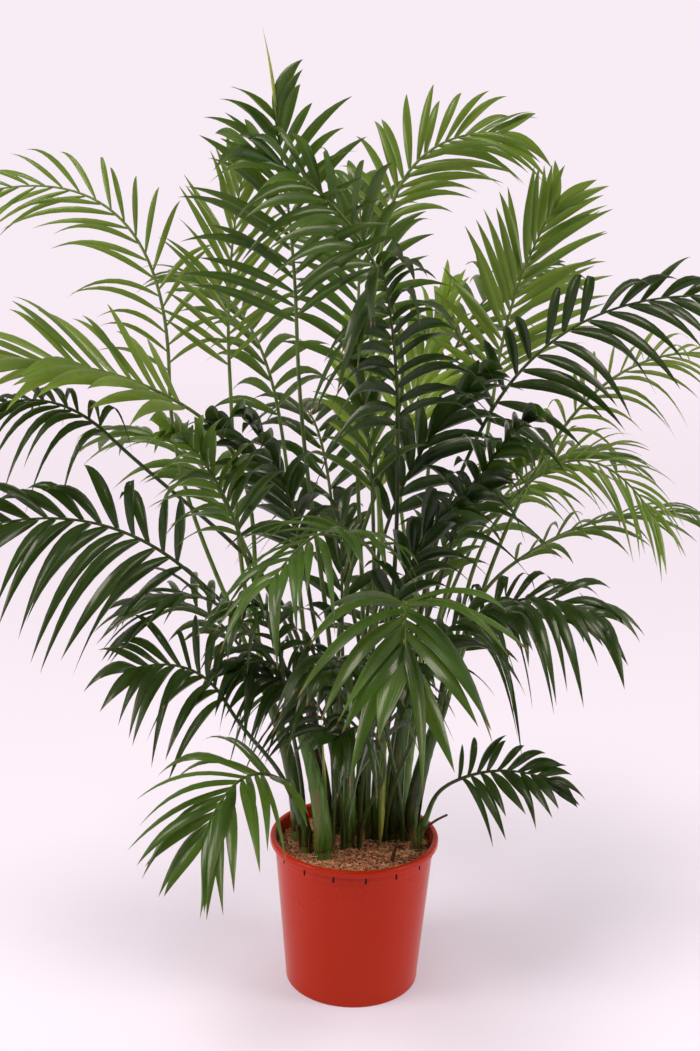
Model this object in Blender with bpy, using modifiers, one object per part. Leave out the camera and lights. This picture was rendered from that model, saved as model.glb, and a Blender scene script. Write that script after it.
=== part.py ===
"""A clumping cat palm (Chamaedorea cataractarum) in its nursery pot.

Metres, +Z up. The origin is the centre of the pot's flat underside. Bearings are degrees about +Z,
anticlockwise from +X, so 270 is the plant's front.
"""

import math
import random
from typing import NamedTuple

import bmesh
import bpy
import numpy as np
from mathutils import Matrix, Vector
from mathutils.bvhtree import BVHTree

OBJECT_NAME = "cat_palm"
UP = Vector((0, 0, 1))
GAP = 0.0003  # between two pieces that touch on the real plant
WELD = 0.00001

# Pot
POT_HEIGHT = 0.285
RIM_RADIUS = 0.155
RIM_HEIGHT = 0.012
RIM_ROUND = 0.003
BAND_RADIUS = 0.1465  # the straight band under the rim
BAND_BOTTOM = 0.256
BAND_STEP = 0.0015  # how far the tapered body stands in from the band
BASE_RADIUS = 0.1225
BASE_ROUND = 0.004
WALL = 0.0025
FLOOR = 0.004
POT_SIDES = 32
SLOT_COUNT = 16
SLOT_SIZE = (0.012, 0.0040, 0.014)
SLOT_HEIGHT = 0.2655

SOIL_TOP = 0.262

# Canes: the short stems that carry the fronds
CANE_SECTIONS = 5
CANE_SIDES = 8
CANE_FOOT_FLARE = 1.15
CANE_STRAIGHT = 0.45  # share of the height over which a cane stands upright

# Stalks and ribs
STALK_RADIUS = 0.0046  # at the cane
KNEE_RADIUS = 0.0032  # where the leaflets begin
TIP_RADIUS = 0.0014
COLLAR = 0.012  # the first stretch of a cane or stalk, square to what it stands on
KNEE_COLLAR = 0.003  # the same, of a blade on a stalk that is a piece of its own
STALK_SECTIONS = 3
BLADE_SECTIONS = 6
STALK_EASE = 0.38  # share of the stalk's length over which its ends hold their direction
RIB_SIDES = 4
RIB_CLEARANCE = 0.0006
BEAD_SPACING = 0.006
SHIFT_STEP = 0.002  # how much further a knee may move on each try to pass another frond
MOST_SHIFTS = 40
SPLIT_BEND = 98  # degrees; a frond that bends further has its stalk as a piece of its own

# Leaflets
KNEE_SPREAD = 64  # degrees between a leaflet and the rib
TIP_SPREAD = 22
SPREAD_CURVE = 0.8  # how soon the spread closes along the blade
LONGEST_AT = 0.33  # share of the blade where the leaflets are longest
TIP_SHORTENING = 0.5
SHORTENING_CURVE = 1.6
STAGGER = 0.2  # share of the spacing by which left and right leaflets are set apart
LIFT = 12  # degrees that a leaflet stands above the blade's plane
TURN = 14  # degrees that a leaflet is turned about its own length, like a slat
SLIMNESS = 7.6  # length over width
WAIST = 0.34  # share of the length where a leaflet is widest
THICKNESS = 0.0115  # share of the length
LEAFLET_CLEARANCE = 0.0012
SPREAD_CHANCE = 5
LIFT_CHANCE = 4
LENGTH_CHANCE = 0.08
SAG_CHANCE = 0.3
# Degrees of swing and lift, and share of the length, tried in turn where a leaflet has no room
VARIANTS = (
    (0, 0, 1),
    (8, 0, 1),
    (-8, 0, 1),
    (0, 14, 1),
    (0, -14, 1),
    (0, 0, 0.8),
    (10, 12, 0.8),
    (-10, -12, 0.8),
    (0, 0, 0.6),
)
SEED = 7

TERRACOTTA = (0.50, 0.075, 0.03)
COIR = (0.16, 0.075, 0.035)
CANE_GREEN = (0.10, 0.17, 0.045)
GREENS = {"pale": (0.16, 0.30, 0.07), "mid": (0.06, 0.16, 0.035), "dark": (0.022, 0.07, 0.02)}


class Cane(NamedTuple):
    name: str
    x: float
    y: float
    radius: float
    height: float  # above the soil
    bearing: float
    lean: float  # degrees from upright, from foot to top


class Frond(NamedTuple):
    name: str
    cane: str
    knee: tuple  # bearing, reach from the pot's axis and height of the place where the leaflets begin
    tip: tuple  # the same of the rib's end
    rise: float  # how far the blade's middle stands above the line from knee to tip
    leaflet: float  # length of the longest leaflet
    pairs: int
    sag: float  # how far a leaflet's tip falls, over its length
    faces: tuple | None = None  # bearing and elevation that the upper face is turned to, or None for up
    green: str = "mid"


CANES = (
    Cane("cane_a", -0.103, 0.024, 0.0130, 0.25, 165, 12),
    Cane("cane_b", -0.056, -0.051, 0.0150, 0.22, 190, 9),
    Cane("cane_c", -0.021, 0.055, 0.0135, 0.28, 150, 4),
    Cane("cane_d", 0.016, 0.110, 0.0120, 0.24, 90, 8),
    Cane("cane_e", 0.042, 0.034, 0.0120, 0.30, 300, 3),
    Cane("cane_f", 0.073, 0.034, 0.0130, 0.26, 330, 4),
    Cane("cane_g", 0.106, 0.030, 0.0130, 0.23, 0, 10),
    Cane("cane_h", 0.088, 0.093, 0.0125, 0.25, 45, 9),
    Cane("cane_i", -0.065, 0.088, 0.0125, 0.24, 130, 9),
    Cane("cane_j", -0.012, -0.002, 0.0125, 0.20, 270, 3),
    Cane("shoot_left", -0.086, -0.030, 0.0110, 0.09, 205, 12),
    Cane("shoot_right", 0.116, -0.012, 0.0090, 0.04, 350, 10),
)

FRONDS = (
    # The left side, from the top down
    Frond(
        "left_high", "cane_a", (164, 0.36, 1.11), (164, 0.76, 1.41),
        0.165, 0.19, 11, 0.30, (270, 20), "pale",
    ),
    Frond(
        "left_bright", "cane_a", (180, 0.30, 1.07), (190, 0.71, 1.13),
        0.05, 0.24, 11, 0.20, (265, 25), "pale",
    ),
    Frond(
        "left_small", "cane_i", (190, 0.42, 1.01), (183, 0.62, 1.06),
        0.03, 0.14, 8, 0.60, (270, 60), "dark",
    ),
    Frond(
        "left_dark", "cane_b", (199, 0.31, 0.81), (198, 0.66, 0.90),
        0.05, 0.20, 10, 0.30, (265, 35), "dark",
    ),
    Frond("left_inner", "cane_b", (217, 0.25, 0.88), (226, 0.42, 1.09), 0.02, 0.18, 9, 0.20, (280, 20)),
    Frond("left_slim", "cane_a", (157, 0.26, 1.125), (155, 0.24, 1.46), 0.01, 0.19, 9, 0.10, (285, 10)),
    Frond("left_mid", "cane_b", (205, 0.235, 0.79), (205, 0.37, 0.77), 0.03, 0.16, 7, 0.30, None, "dark"),
    Frond(
        "low_left", "shoot_left", (212, 0.265, 0.59), (212, 0.43, 0.68),
        0.03, 0.17, 8, 0.25, (280, 45), "dark",
    ),
    Frond("low_front", "shoot_left", (236, 0.24, 0.48), (235, 0.42, 0.445), 0.045, 0.18, 8, 0.35, (260, 60)),
    # The middle
    Frond("top_left", "cane_c", (203, 0.125, 1.22), (212, 0.18, 1.56), 0.01, 0.22, 10, 0.15, (265, 10)),
    Frond("top_right", "cane_e", (60, 0.06, 1.38), (24, 0.25, 1.54), 0.055, 0.17, 9, 0.25, (270, 30)),
    Frond(
        "centre_left", "cane_c", (284, 0.05, 1.29), (224, 0.26, 1.50),
        0.03, 0.20, 8, 0.25, (275, 25), "dark",
    ),
    Frond("centre_right", "cane_e", (299, 0.115, 1.06), (274, 0.25, 1.34), 0.03, 0.21, 10, 0.40, (290, 15)),
    Frond("front_left", "cane_j", (275, 0.16, 0.87), (254, 0.47, 0.90), 0.05, 0.17, 9, 0.45, None, "dark"),
    Frond("front_right", "cane_f", (282, 0.31, 0.82), (278, 0.47, 0.79), 0.035, 0.21, 7, 0.40),
    Frond("low_inner", "cane_j", (275, 0.10, 0.54), (250, 0.20, 0.66), 0.01, 0.12, 6, 0.30),
    # The right side, from the top down
    Frond(
        "right_high", "cane_h", (22, 0.25, 1.11), (24, 0.36, 1.42),
        0.02, 0.20, 11, 0.12, (275, 15), "pale",
    ),
    Frond(
        "right_dark", "cane_f", (0, 0.20, 1.04), (355, 0.58, 1.285),
        0.075, 0.18, 11, 0.25, (270, 30), "dark",
    ),
    Frond("right_far", "cane_g", (8, 0.34, 1.02), (8, 0.71, 1.15), 0.08, 0.14, 10, 0.50, (270, 55), "pale"),
    Frond(
        "right_inner", "cane_f", (340, 0.14, 0.87), (322, 0.31, 1.11),
        0.02, 0.18, 9, 0.25, (260, 20), "dark",
    ),
    Frond(
        "right_arch", "cane_g", (0, 0.26, 0.92), (348, 0.50, 0.92),
        0.085, 0.14, 10, 0.40, (270, 40), "pale",
    ),
    Frond("right_mid", "cane_g", (2, 0.265, 0.80), (5, 0.66, 0.88), 0.05, 0.15, 10, 0.30),
    Frond(
        "right_low", "cane_f", (345, 0.19, 0.68), (338, 0.42, 0.765),
        0.05, 0.18, 9, 0.45, (270, 55), "dark",
    ),
    Frond(
        "low_right", "shoot_right", (344, 0.185, 0.415), (344, 0.36, 0.44),
        0.02, 0.11, 8, 0.20, (270, 40), "dark",
    ),
    # The back
    Frond("back_centre", "cane_d", (78, 0.15, 0.88), (94, 0.35, 1.15), 0.03, 0.20, 8, 0.25, None, "pale"),
    Frond("back_inner", "cane_h", (56, 0.13, 0.99), (60, 0.29, 1.24), 0.02, 0.20, 8, 0.25, None, "pale"),
    Frond("back_top", "cane_d", (95, 0.15, 1.12), (92, 0.36, 1.44), 0.04, 0.20, 9, 0.20),
    Frond("back_left_high", "cane_i", (128, 0.25, 1.02), (130, 0.58, 1.26), 0.08, 0.20, 9, 0.30),
    Frond("back_right_high", "cane_h", (55, 0.24, 1.05), (52, 0.58, 1.28), 0.08, 0.20, 9, 0.30),
    Frond("back_left_mid", "cane_i", (145, 0.28, 0.82), (143, 0.62, 0.95), 0.07, 0.20, 9, 0.30),
    Frond("back_mid", "cane_d", (102, 0.25, 0.82), (104, 0.60, 0.98), 0.08, 0.20, 9, 0.30, None, "dark"),
    Frond("back_right_mid", "cane_h", (38, 0.27, 0.80), (36, 0.62, 0.93), 0.07, 0.20, 9, 0.30),
    Frond("back_left_low", "cane_i", (160, 0.22, 0.60), (158, 0.46, 0.66), 0.05, 0.17, 8, 0.30, None, "dark"),
    Frond("back_low", "cane_d", (82, 0.22, 0.58), (80, 0.46, 0.62), 0.05, 0.17, 8, 0.30, None, "dark"),
    Frond("back_right_low", "cane_g", (18, 0.22, 0.58), (20, 0.46, 0.63), 0.05, 0.17, 8, 0.30, None, "dark"),
)


# %% Objects, materials and plain shapes


def clear_scene():
    for old in list(bpy.data.objects):
        bpy.data.objects.remove(old)


def new_collection(name):
    made = bpy.data.collections.new(name)
    bpy.context.scene.collection.children.link(made)
    return made


def material(name, colour, roughness):
    made = bpy.data.materials.new(name)
    made.use_nodes = True
    shader = made.node_tree.nodes["Principled BSDF"]
    shader.inputs["Base Color"].default_value = (*colour, 1)
    shader.inputs["Roughness"].default_value = roughness
    shader.inputs["Metallic"].default_value = 0
    return made


def place(name, data, finish, collection):
    """A named object of this mesh or curve."""
    made = bpy.data.objects.new(name, data)
    data.materials.clear()
    data.materials.append(finish)
    collection.objects.link(made)
    return made


def turned(name, profile, finish, collection):
    """The (radius, height) profile turned about the Z axis."""
    mesh = bpy.data.meshes.new(name)
    points = [(radius, 0, height) for radius, height in profile]
    mesh.from_pydata(points, [(i, i + 1) for i in range(len(points) - 1)], [])
    made = place(name, mesh, finish, collection)
    screw = made.modifiers.new("Turn", "SCREW")
    screw.steps = screw.render_steps = POT_SIDES
    screw.use_merge_vertices = True
    screw.merge_threshold = WELD
    screw.use_smooth_shade = True
    return made


def as_mesh(made):
    """The object as a mesh of its own: its modifiers applied or, of a curve, its tube."""
    graph = bpy.context.evaluated_depsgraph_get()
    mesh = bpy.data.meshes.new_from_object(made.evaluated_get(graph))
    name = made.name
    finish = made.data.materials[0]
    collection = made.users_collection[0]
    bpy.data.objects.remove(made)
    return place(name, mesh, finish, collection)


def tube(name, path, radii, sides, finish, collection):
    """A closed tube of 4 or more sides, an even number, along the path."""
    curve = bpy.data.curves.new(name, "CURVE")
    curve.dimensions = "3D"
    curve.bevel_depth = 1
    curve.bevel_resolution = sides // 2 - 2
    curve.use_fill_caps = True
    spline = curve.splines.new("POLY")
    spline.points.add(len(path) - 1)
    for point, position, radius in zip(spline.points, path, radii):
        point.co = (*position, 1)
        point.radius = radius
    made = as_mesh(place(name, curve, finish, collection))
    work = bmesh.new()
    work.from_mesh(made.data)
    bmesh.ops.remove_doubles(work, verts=work.verts, dist=WELD)
    work.to_mesh(made.data)
    work.free()
    made.data.shade_smooth()
    return made


def bezier(corners, share):
    """The point at this share of the Bezier curve with these corners."""
    while len(corners) > 1:
        corners = [a.lerp(b, share) for a, b in zip(corners, corners[1:])]
    return corners[0]


def evenly(first, last, count):
    return [first + (last - first) * i / (count - 1) for i in range(count)]


def heading(degrees):
    angle = math.radians(degrees)
    return Vector((math.cos(angle), math.sin(angle), 0))


def spot(bearing, reach, height):
    return reach * heading(bearing) + height * UP


# %% Pot and soil


def wall_radius(height):
    """The tapered body's outer radius at this height."""
    top = BAND_RADIUS - BAND_STEP
    return BASE_RADIUS + (top - BASE_RADIUS) * height / BAND_BOTTOM


def make_slot_cutter(collection):
    """A ring of upright boxes, each in the middle of one of the wall's facets."""
    work = bmesh.new()
    for i in range(SLOT_COUNT):
        facets = i * POT_SIDES / SLOT_COUNT + 0.5
        turn = Matrix.Rotation(2 * math.pi * facets / POT_SIDES, 3, "Z")
        box = bmesh.ops.create_cube(work, size=1)["verts"]
        bmesh.ops.scale(work, vec=SLOT_SIZE, verts=box)
        bmesh.ops.translate(work, vec=(BAND_RADIUS, 0, SLOT_HEIGHT), verts=box)
        bmesh.ops.rotate(work, cent=(0, 0, 0), matrix=turn, verts=box)
    mesh = bpy.data.meshes.new("slot_cutter")
    work.to_mesh(mesh)
    work.free()
    cutter = bpy.data.objects.new("slot_cutter", mesh)
    collection.objects.link(cutter)
    cutter.hide_render = True
    cutter.display_type = "WIRE"
    return cutter


def make_pot(collection, cutters):
    inner_band = BAND_RADIUS - WALL
    rim_bottom = POT_HEIGHT - RIM_HEIGHT
    profile = (
        (0, FLOOR),
        (wall_radius(FLOOR) - WALL, FLOOR),
        (wall_radius(BAND_BOTTOM) - WALL, BAND_BOTTOM),
        (inner_band, BAND_BOTTOM + BAND_STEP),
        (inner_band, POT_HEIGHT - RIM_ROUND),
        (inner_band + RIM_ROUND, POT_HEIGHT),
        (RIM_RADIUS - RIM_ROUND, POT_HEIGHT),
        (RIM_RADIUS, POT_HEIGHT - RIM_ROUND),
        (RIM_RADIUS, rim_bottom),
        (BAND_RADIUS, rim_bottom),
        (BAND_RADIUS, BAND_BOTTOM),
        (wall_radius(BAND_BOTTOM), BAND_BOTTOM - BAND_STEP),
        (wall_radius(BASE_ROUND), BASE_ROUND),
        (BASE_RADIUS - BASE_ROUND, 0),
        (0, 0),
    )
    pot = turned("pot", profile, material("terracotta_plastic", TERRACOTTA, 0.35), collection)
    cut = pot.modifiers.new("Slots", "BOOLEAN")
    cut.object = make_slot_cutter(cutters)
    cut.operation = "DIFFERENCE"


def make_soil(collection):
    """A level plug that fills the pot up to the middle of the band."""
    fit = WALL + GAP
    profile = (
        (0, SOIL_TOP),
        (BAND_RADIUS - fit, SOIL_TOP),
        (BAND_RADIUS - fit, BAND_BOTTOM + BAND_STEP),
        (wall_radius(BAND_BOTTOM) - fit, BAND_BOTTOM),
        (wall_radius(FLOOR) - fit, FLOOR + GAP),
        (0, FLOOR + GAP),
    )
    turned("soil", profile, material("coir", COIR, 0.95), collection)


# %% Canes, stalks and ribs


def cane_path(cane):
    """Straight up from the soil, so that the foot is cut level, and then leaning."""
    foot = Vector((cane.x, cane.y, SOIL_TOP + GAP))
    slope = math.tan(math.radians(cane.lean))
    corners = [
        foot + COLLAR * UP,
        foot + CANE_STRAIGHT * cane.height * UP,
        foot + cane.height * (UP + slope * heading(cane.bearing)),
    ]
    return [foot] + [bezier(corners, i / CANE_SECTIONS) for i in range(CANE_SECTIONS + 1)]


def cane_radii(cane):
    return [CANE_FOOT_FLARE * cane.radius] + [cane.radius] * (CANE_SECTIONS + 1)


def stalk_starts(cane):
    """By frond, where its stalk stands on the cane's flat top, and the cane's direction there.

    The stalks stand in a ring, each as near as can be to the side it leans to, so that none crosses another.
    """
    path = cane_path(cane)
    top = path[-1]
    axis = (top - path[-2]).normalized()
    ways = {frond.name: spot(*frond.knee) - top for frond in FRONDS if frond.cane == cane.name}
    middle = sum((way.normalized() for way in ways.values()), Vector())
    middle = math.atan2(middle.y, middle.x)
    turns = {}
    for name, way in ways.items():
        turns[name] = math.remainder(math.atan2(way.y, way.x) - middle, 2 * math.pi)
    names = sorted(turns, key=turns.get)
    step = 2 * math.pi / len(names)
    first = middle + sum(turns[name] - i * step for i, name in enumerate(names)) / len(names)
    ring = (STALK_RADIUS + RIB_CLEARANCE) / math.sin(step / 2) if len(names) > 1 else 0
    starts = {}
    for i, name in enumerate(names):
        out = heading(math.degrees(first + i * step))
        out = (out - out.dot(axis) * axis).normalized()
        starts[name] = (top + GAP * axis + ring * out, axis)
    return starts


def blade_corners(frond, shift):
    """The blade's Bezier corners, with the knee moved by the shift and the tip by half of it."""
    knee = spot(*frond.knee) + shift
    tip = spot(*frond.tip) + shift / 2
    along = (tip - knee).normalized()
    above = (UP - UP.dot(along) * along).normalized()
    return [knee, (knee + tip) / 2 + 2 * frond.rise * above, tip]


def stalk_path(corners, start, axis):
    """From the cane's flat top to the knee, where it goes on into the blade."""
    knee = corners[0]
    first = start + COLLAR * axis
    ease = STALK_EASE * (knee - first).length
    onward = (corners[1] - knee).normalized()
    stalk = [first, first + ease * axis, knee - ease * onward, knee]
    return [start] + [bezier(stalk, i / STALK_SECTIONS) for i in range(STALK_SECTIONS + 1)]


def stalk_radii():
    return evenly(STALK_RADIUS, KNEE_RADIUS, STALK_SECTIONS + 2)


def blade_path(corners):
    return [bezier(corners, i / BLADE_SECTIONS) for i in range(BLADE_SECTIONS + 1)]


def blade_radii():
    return evenly(KNEE_RADIUS, TIP_RADIUS, BLADE_SECTIONS + 1)


def beads(path, radii):
    """Rows of x, y, z and radius, close together along a tube."""
    rows = []
    for a, b, radius_a, radius_b in zip(path, path[1:], radii, radii[1:]):
        count = max(1, round((b - a).length / BEAD_SPACING))
        for i in range(count):
            rows.append((*a.lerp(b, i / count), radius_a + (radius_b - radius_a) * i / count))
    return np.array(rows)


def beads_meet(one, other):
    apart = np.linalg.norm(one[:, None, :3] - other[None, :, :3], axis=2)
    return bool((apart < one[:, None, 3] + other[None, :, 3] + RIB_CLEARANCE).any())


def route_fronds():
    """Each frond's blade corners, stalk and rib, moved a little where it would meet another's or a cane."""
    placed = {cane.name: beads(cane_path(cane), cane_radii(cane)) for cane in CANES}
    starts = {}
    for cane in CANES:
        starts.update(stalk_starts(cane))
    routes = {}
    for frond in FRONDS:
        chances = random.Random(f"{frond.name} {SEED}")
        others = [rows for name, rows in placed.items() if name != frond.cane]
        for step in range(MOST_SHIFTS):
            shift = step * SHIFT_STEP * Vector([chances.uniform(-1, 1) for _ in range(3)])
            corners = blade_corners(frond, shift)
            stalk = stalk_path(corners, *starts[frond.name])
            rib = blade_path(corners)
            own = beads(stalk + rib[1:], stalk_radii() + blade_radii()[1:])
            if not any(beads_meet(own, other) for other in others):
                break
        else:
            raise ValueError(f"{frond.name} finds no way between the others")
        placed[frond.name] = own
        routes[frond.name] = (corners, stalk, rib)
    return routes


def bend_of(stalk, rib):
    """Degrees between the way the frond sets out and the way it ends."""
    return math.degrees((stalk[1] - stalk[0]).angle(rib[-1] - rib[-2]))


def with_collar(rib, stalk):
    """The rib of a blade whose stalk is its own piece: it starts square to that stalk's end."""
    onward = (stalk[-1] - stalk[-2]).normalized()
    return [rib[0] + GAP * onward, rib[0] + KNEE_COLLAR * onward] + rib[1:]


# %% Leaflets


def leaflet_size(share):
    """A leaflet's length at this share of the blade, as a share of the longest."""
    away = abs(share - LONGEST_AT) / (1 - LONGEST_AT)
    return 1 - TIP_SHORTENING * away**SHORTENING_CURVE


def grow_leaflet(frond, corners, rib, share, hand, chance, variant, margin=0):
    """Points and faces of one closed leaflet, on the right (hand 1) or the left (hand -1) of the rib.

    Its root is a point sunk in the rib, its waist three-sided and its end a point.
    """
    swing, lift, scale = variant
    # The blade's own frame here
    along = bezier([b - a for a, b in zip(corners, corners[1:])], share).normalized()
    toward = UP
    if frond.faces:
        bearing, elevation = frond.faces
        rise = math.radians(elevation)
        toward = math.cos(rise) * heading(bearing) + math.sin(rise) * UP
    face = (toward - toward.dot(along) * along).normalized()
    outward = hand * along.cross(face)
    # The leaflet's own frame
    spread = KNEE_SPREAD + (TIP_SPREAD - KNEE_SPREAD) * share**SPREAD_CURVE
    spread = math.radians(spread + swing + SPREAD_CHANCE * chance[0])
    raised = math.radians(LIFT + lift + LIFT_CHANCE * chance[1])
    way = math.cos(spread) * along + math.sin(spread) * outward
    way = math.cos(raised) * way + math.sin(raised) * face
    upper = (face - face.dot(way) * way).normalized()
    upper = Matrix.Rotation(hand * math.radians(TURN), 3, way) @ upper
    across = way.cross(upper)
    # Its size and points
    length = frond.leaflet * leaflet_size(share) * scale * (1 + LENGTH_CHANCE * chance[2])
    sag = frond.sag * length * (1 + SAG_CHANCE * chance[3])
    half = length / SLIMNESS / 2 + margin
    section = min(int(share * BLADE_SECTIONS), BLADE_SECTIONS - 1)
    root = rib[section].lerp(rib[section + 1], share * BLADE_SECTIONS - section)
    waist = root + WAIST * length * way
    onward = (1 - WAIST) * length * way - sag * UP
    points = [
        root,
        waist + onward + margin * onward.normalized(),
        waist - half * across + margin * upper,
        waist - (THICKNESS * length + margin) * upper,
        waist + half * across + margin * upper,
    ]
    faces = []
    for a, b in ((2, 3), (3, 4), (4, 2)):
        faces.append((0, a, b))
        faces.append((1, b, a))
    return points, faces


def tree_of(shapes):
    """One search tree of several (points, faces) shapes."""
    points = []
    faces = []
    for more_points, more_faces in shapes:
        faces += [tuple(i + len(points) for i in face) for face in more_faces]
        points += more_points
    return BVHTree.FromPolygons(points, faces)


def shape_of(made):
    return [v.co.copy() for v in made.data.vertices], [tuple(p.vertices) for p in made.data.polygons]


def grow_blade(frond, corners, rib, obstacles):
    """The leaflets that find room between the obstacles."""
    chances = random.Random(f"{frond.name} {SEED}")
    grown = []
    for i in range(frond.pairs):
        for hand in (1, -1):
            share = (i + 0.5 + hand * STAGGER) / frond.pairs
            chance = [chances.uniform(-1, 1) for _ in range(4)]
            for variant in VARIANTS:
                guard = grow_leaflet(frond, corners, rib, share, hand, chance, variant, LEAFLET_CLEARANCE)
                guard = tree_of([guard])
                if not any(guard.overlap(tree) for tree in obstacles):
                    grown.append(grow_leaflet(frond, corners, rib, share, hand, chance, variant))
                    break
    return grown


def fuse(rib, leaflets):
    """Joins the leaflets to the rib as one body."""
    helpers = new_collection("leaflets")
    for points, faces in leaflets:
        mesh = bpy.data.meshes.new("leaflet")
        mesh.from_pydata(points, [], faces)
        helpers.objects.link(bpy.data.objects.new("leaflet", mesh))
    join = rib.modifiers.new("Join", "BOOLEAN")
    join.operand_type = "COLLECTION"
    join.collection = helpers
    join.operation = "UNION"
    join.solver = "MANIFOLD"
    as_mesh(rib)
    for helper in list(helpers.objects):
        bpy.data.objects.remove(helper)
    bpy.data.collections.remove(helpers)


# %% The plant


def make_canes(collection):
    """The canes, and a search tree of each by its name."""
    finish = material("cane", CANE_GREEN, 0.5)
    trees = {}
    for cane in CANES:
        made = tube(cane.name, cane_path(cane), cane_radii(cane), CANE_SIDES, finish, collection)
        trees[cane.name] = tree_of([shape_of(made)])
    return trees


def make_fronds(collection, trees):
    """Every rib first, then the leaflets, which keep clear of limbs and of other fronds' leaflets."""
    finishes = {name: material(f"leaf_{name}", colour, 0.45) for name, colour in GREENS.items()}
    routes = route_fronds()
    ribs = {}
    for frond in FRONDS:
        _, stalk, rib = routes[frond.name]
        finish = finishes[frond.green]
        name = f"frond_{frond.name}"
        shapes = []
        if bend_of(stalk, rib) > SPLIT_BEND:
            made = tube(f"{name}_stalk", stalk, stalk_radii(), RIB_SIDES, finish, collection)
            shapes.append(shape_of(made))
            path = with_collar(rib, stalk)
            radii = [KNEE_RADIUS] + blade_radii()
        else:
            path = stalk + rib[1:]
            radii = stalk_radii() + blade_radii()[1:]
        ribs[frond.name] = tube(name, path, radii, RIB_SIDES, finish, collection)
        shapes.append(shape_of(ribs[frond.name]))
        trees[frond.name] = tree_of(shapes)
    leaves = {}
    for frond in FRONDS:
        corners, _, rib = routes[frond.name]
        obstacles = [tree for name, tree in trees.items() if name != frond.name] + list(leaves.values())
        grown = grow_blade(frond, corners, rib, obstacles)
        leaves[frond.name] = tree_of(grown)
        fuse(ribs[frond.name], grown)


def main():
    clear_scene()
    plant = new_collection(OBJECT_NAME)
    cutters = new_collection("cutters")
    make_pot(plant, cutters)
    make_soil(plant)
    make_fronds(plant, make_canes(plant))


main()
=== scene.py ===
# %% [markdown]
# # A cat palm in its nursery pot
#
# A cat palm is a clump of short green canes. Each cane ends in the sheathed feet of a few stalks,
# each stalk bends over into a rib, and the rib carries two rows of ribbon-like leaflets. The frame
# holds this plant as plain solids. This lesson grows the same fronds by the same rule with finer
# leaflets, and dresses the rest.
#
# Lengths are metres and +Z is up. A bearing is in degrees, anticlockwise from +X: 270 is the front.

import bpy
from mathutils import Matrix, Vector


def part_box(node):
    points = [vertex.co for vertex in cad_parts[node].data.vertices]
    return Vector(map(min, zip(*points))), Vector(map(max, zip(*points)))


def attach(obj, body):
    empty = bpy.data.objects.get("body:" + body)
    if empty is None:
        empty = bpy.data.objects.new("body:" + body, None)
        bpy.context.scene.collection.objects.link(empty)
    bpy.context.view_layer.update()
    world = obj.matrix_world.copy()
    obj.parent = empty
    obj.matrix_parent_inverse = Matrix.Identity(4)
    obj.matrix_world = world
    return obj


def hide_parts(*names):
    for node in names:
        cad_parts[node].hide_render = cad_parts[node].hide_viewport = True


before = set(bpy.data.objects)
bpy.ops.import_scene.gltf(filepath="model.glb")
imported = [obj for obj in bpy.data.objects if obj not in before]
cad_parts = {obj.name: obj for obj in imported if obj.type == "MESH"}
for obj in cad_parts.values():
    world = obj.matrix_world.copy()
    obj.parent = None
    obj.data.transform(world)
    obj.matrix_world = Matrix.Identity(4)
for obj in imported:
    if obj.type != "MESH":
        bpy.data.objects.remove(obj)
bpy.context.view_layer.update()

# %% [markdown]
# ## One function for every node
#
# Materials and Geometry Nodes are both trees of nodes. The same three steps come back for each node:
# make it, set its options, feed its inputs. One function does all three, so that a tree reads as a
# recipe. An input is fed by a node, by one of its sockets, by a plain value or by a colour. Colours
# are sRGB hex, as on a paint chart, and are turned into the linear light that Blender wants.

# %% Nodes and colours
import math
import random
from functools import partial
from typing import NamedTuple

import bmesh
import bpy
import numpy as np
from mathutils import Euler, Matrix, Vector, noise

MATH = "ShaderNodeMath"
VECTOR = "ShaderNodeVectorMath"
XYZ = "ShaderNodeCombineXYZ"
RANGE = "ShaderNodeMapRange"  # its inputs: a value, the range it comes from and the range it goes to
CHANCE = "FunctionNodeRandomValue"


def linear(code):
    """An sRGB hex colour as linear red, green, blue and alpha."""
    shades = [int(code[i : i + 2], 16) / 255 for i in (1, 3, 5)]
    return (*[s / 12.92 if s <= 0.04045 else ((s + 0.055) / 1.055) ** 2.4 for s in shades], 1)


def pick(sockets, key):
    """The socket in use with this name, or at this place."""
    usable = [socket for socket in sockets if socket.enabled]
    if isinstance(key, int):
        return usable[key]
    return next(socket for socket in usable if socket.name == key)


def feed(node, *places, **names):
    """Feeds a node's inputs in their order, or by name with _ for each space."""
    named = {name.replace("_", " "): value for name, value in names.items()}
    for key, value in [*enumerate(places), *named.items()]:
        if isinstance(value, bpy.types.Node):
            value = pick(value.outputs, 0)
        if isinstance(value, bpy.types.NodeSocket):
            node.id_data.links.new(value, pick(node.inputs, key))
        else:
            colour = isinstance(value, str) and value.startswith("#")
            pick(node.inputs, key).default_value = linear(value) if colour else value


def add(tree, kind, *places, **names):
    """Adds a node of this kind, or of this kind in the tree's own family, and feeds its inputs.

    Its settings, or its operation alone, may stand before the inputs.
    """
    made = tree.nodes.new(kind if "Node" in kind else tree.bl_idname.removesuffix("Tree") + kind)
    if places and isinstance(places[0], (str, dict)):
        settings, *places = places
        if isinstance(settings, str):
            settings = {"operation": settings}
        for name, value in settings.items():
            setattr(made, name, value)
    feed(made, *places, **names)
    return made


print("mid grey in linear light:", round(linear("#808080")[0], 3))

# %% [markdown]
# ## From a node tree to a plain mesh
#
# A Geometry Nodes tree is a recipe, and a modifier runs it on one object. `new_tree` makes an
# empty recipe with named inputs. `grow` hangs it on a mesh, sets its inputs by the identifiers
# that Blender gave them, and takes the result away as a plain mesh. `lines` makes the usual
# starting mesh: paths of points, with the values that the recipe needs at each point. `loft` and
# `baked` make the meshes that are built by hand.

# %% Trees and starting meshes
pieces = {}


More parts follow.
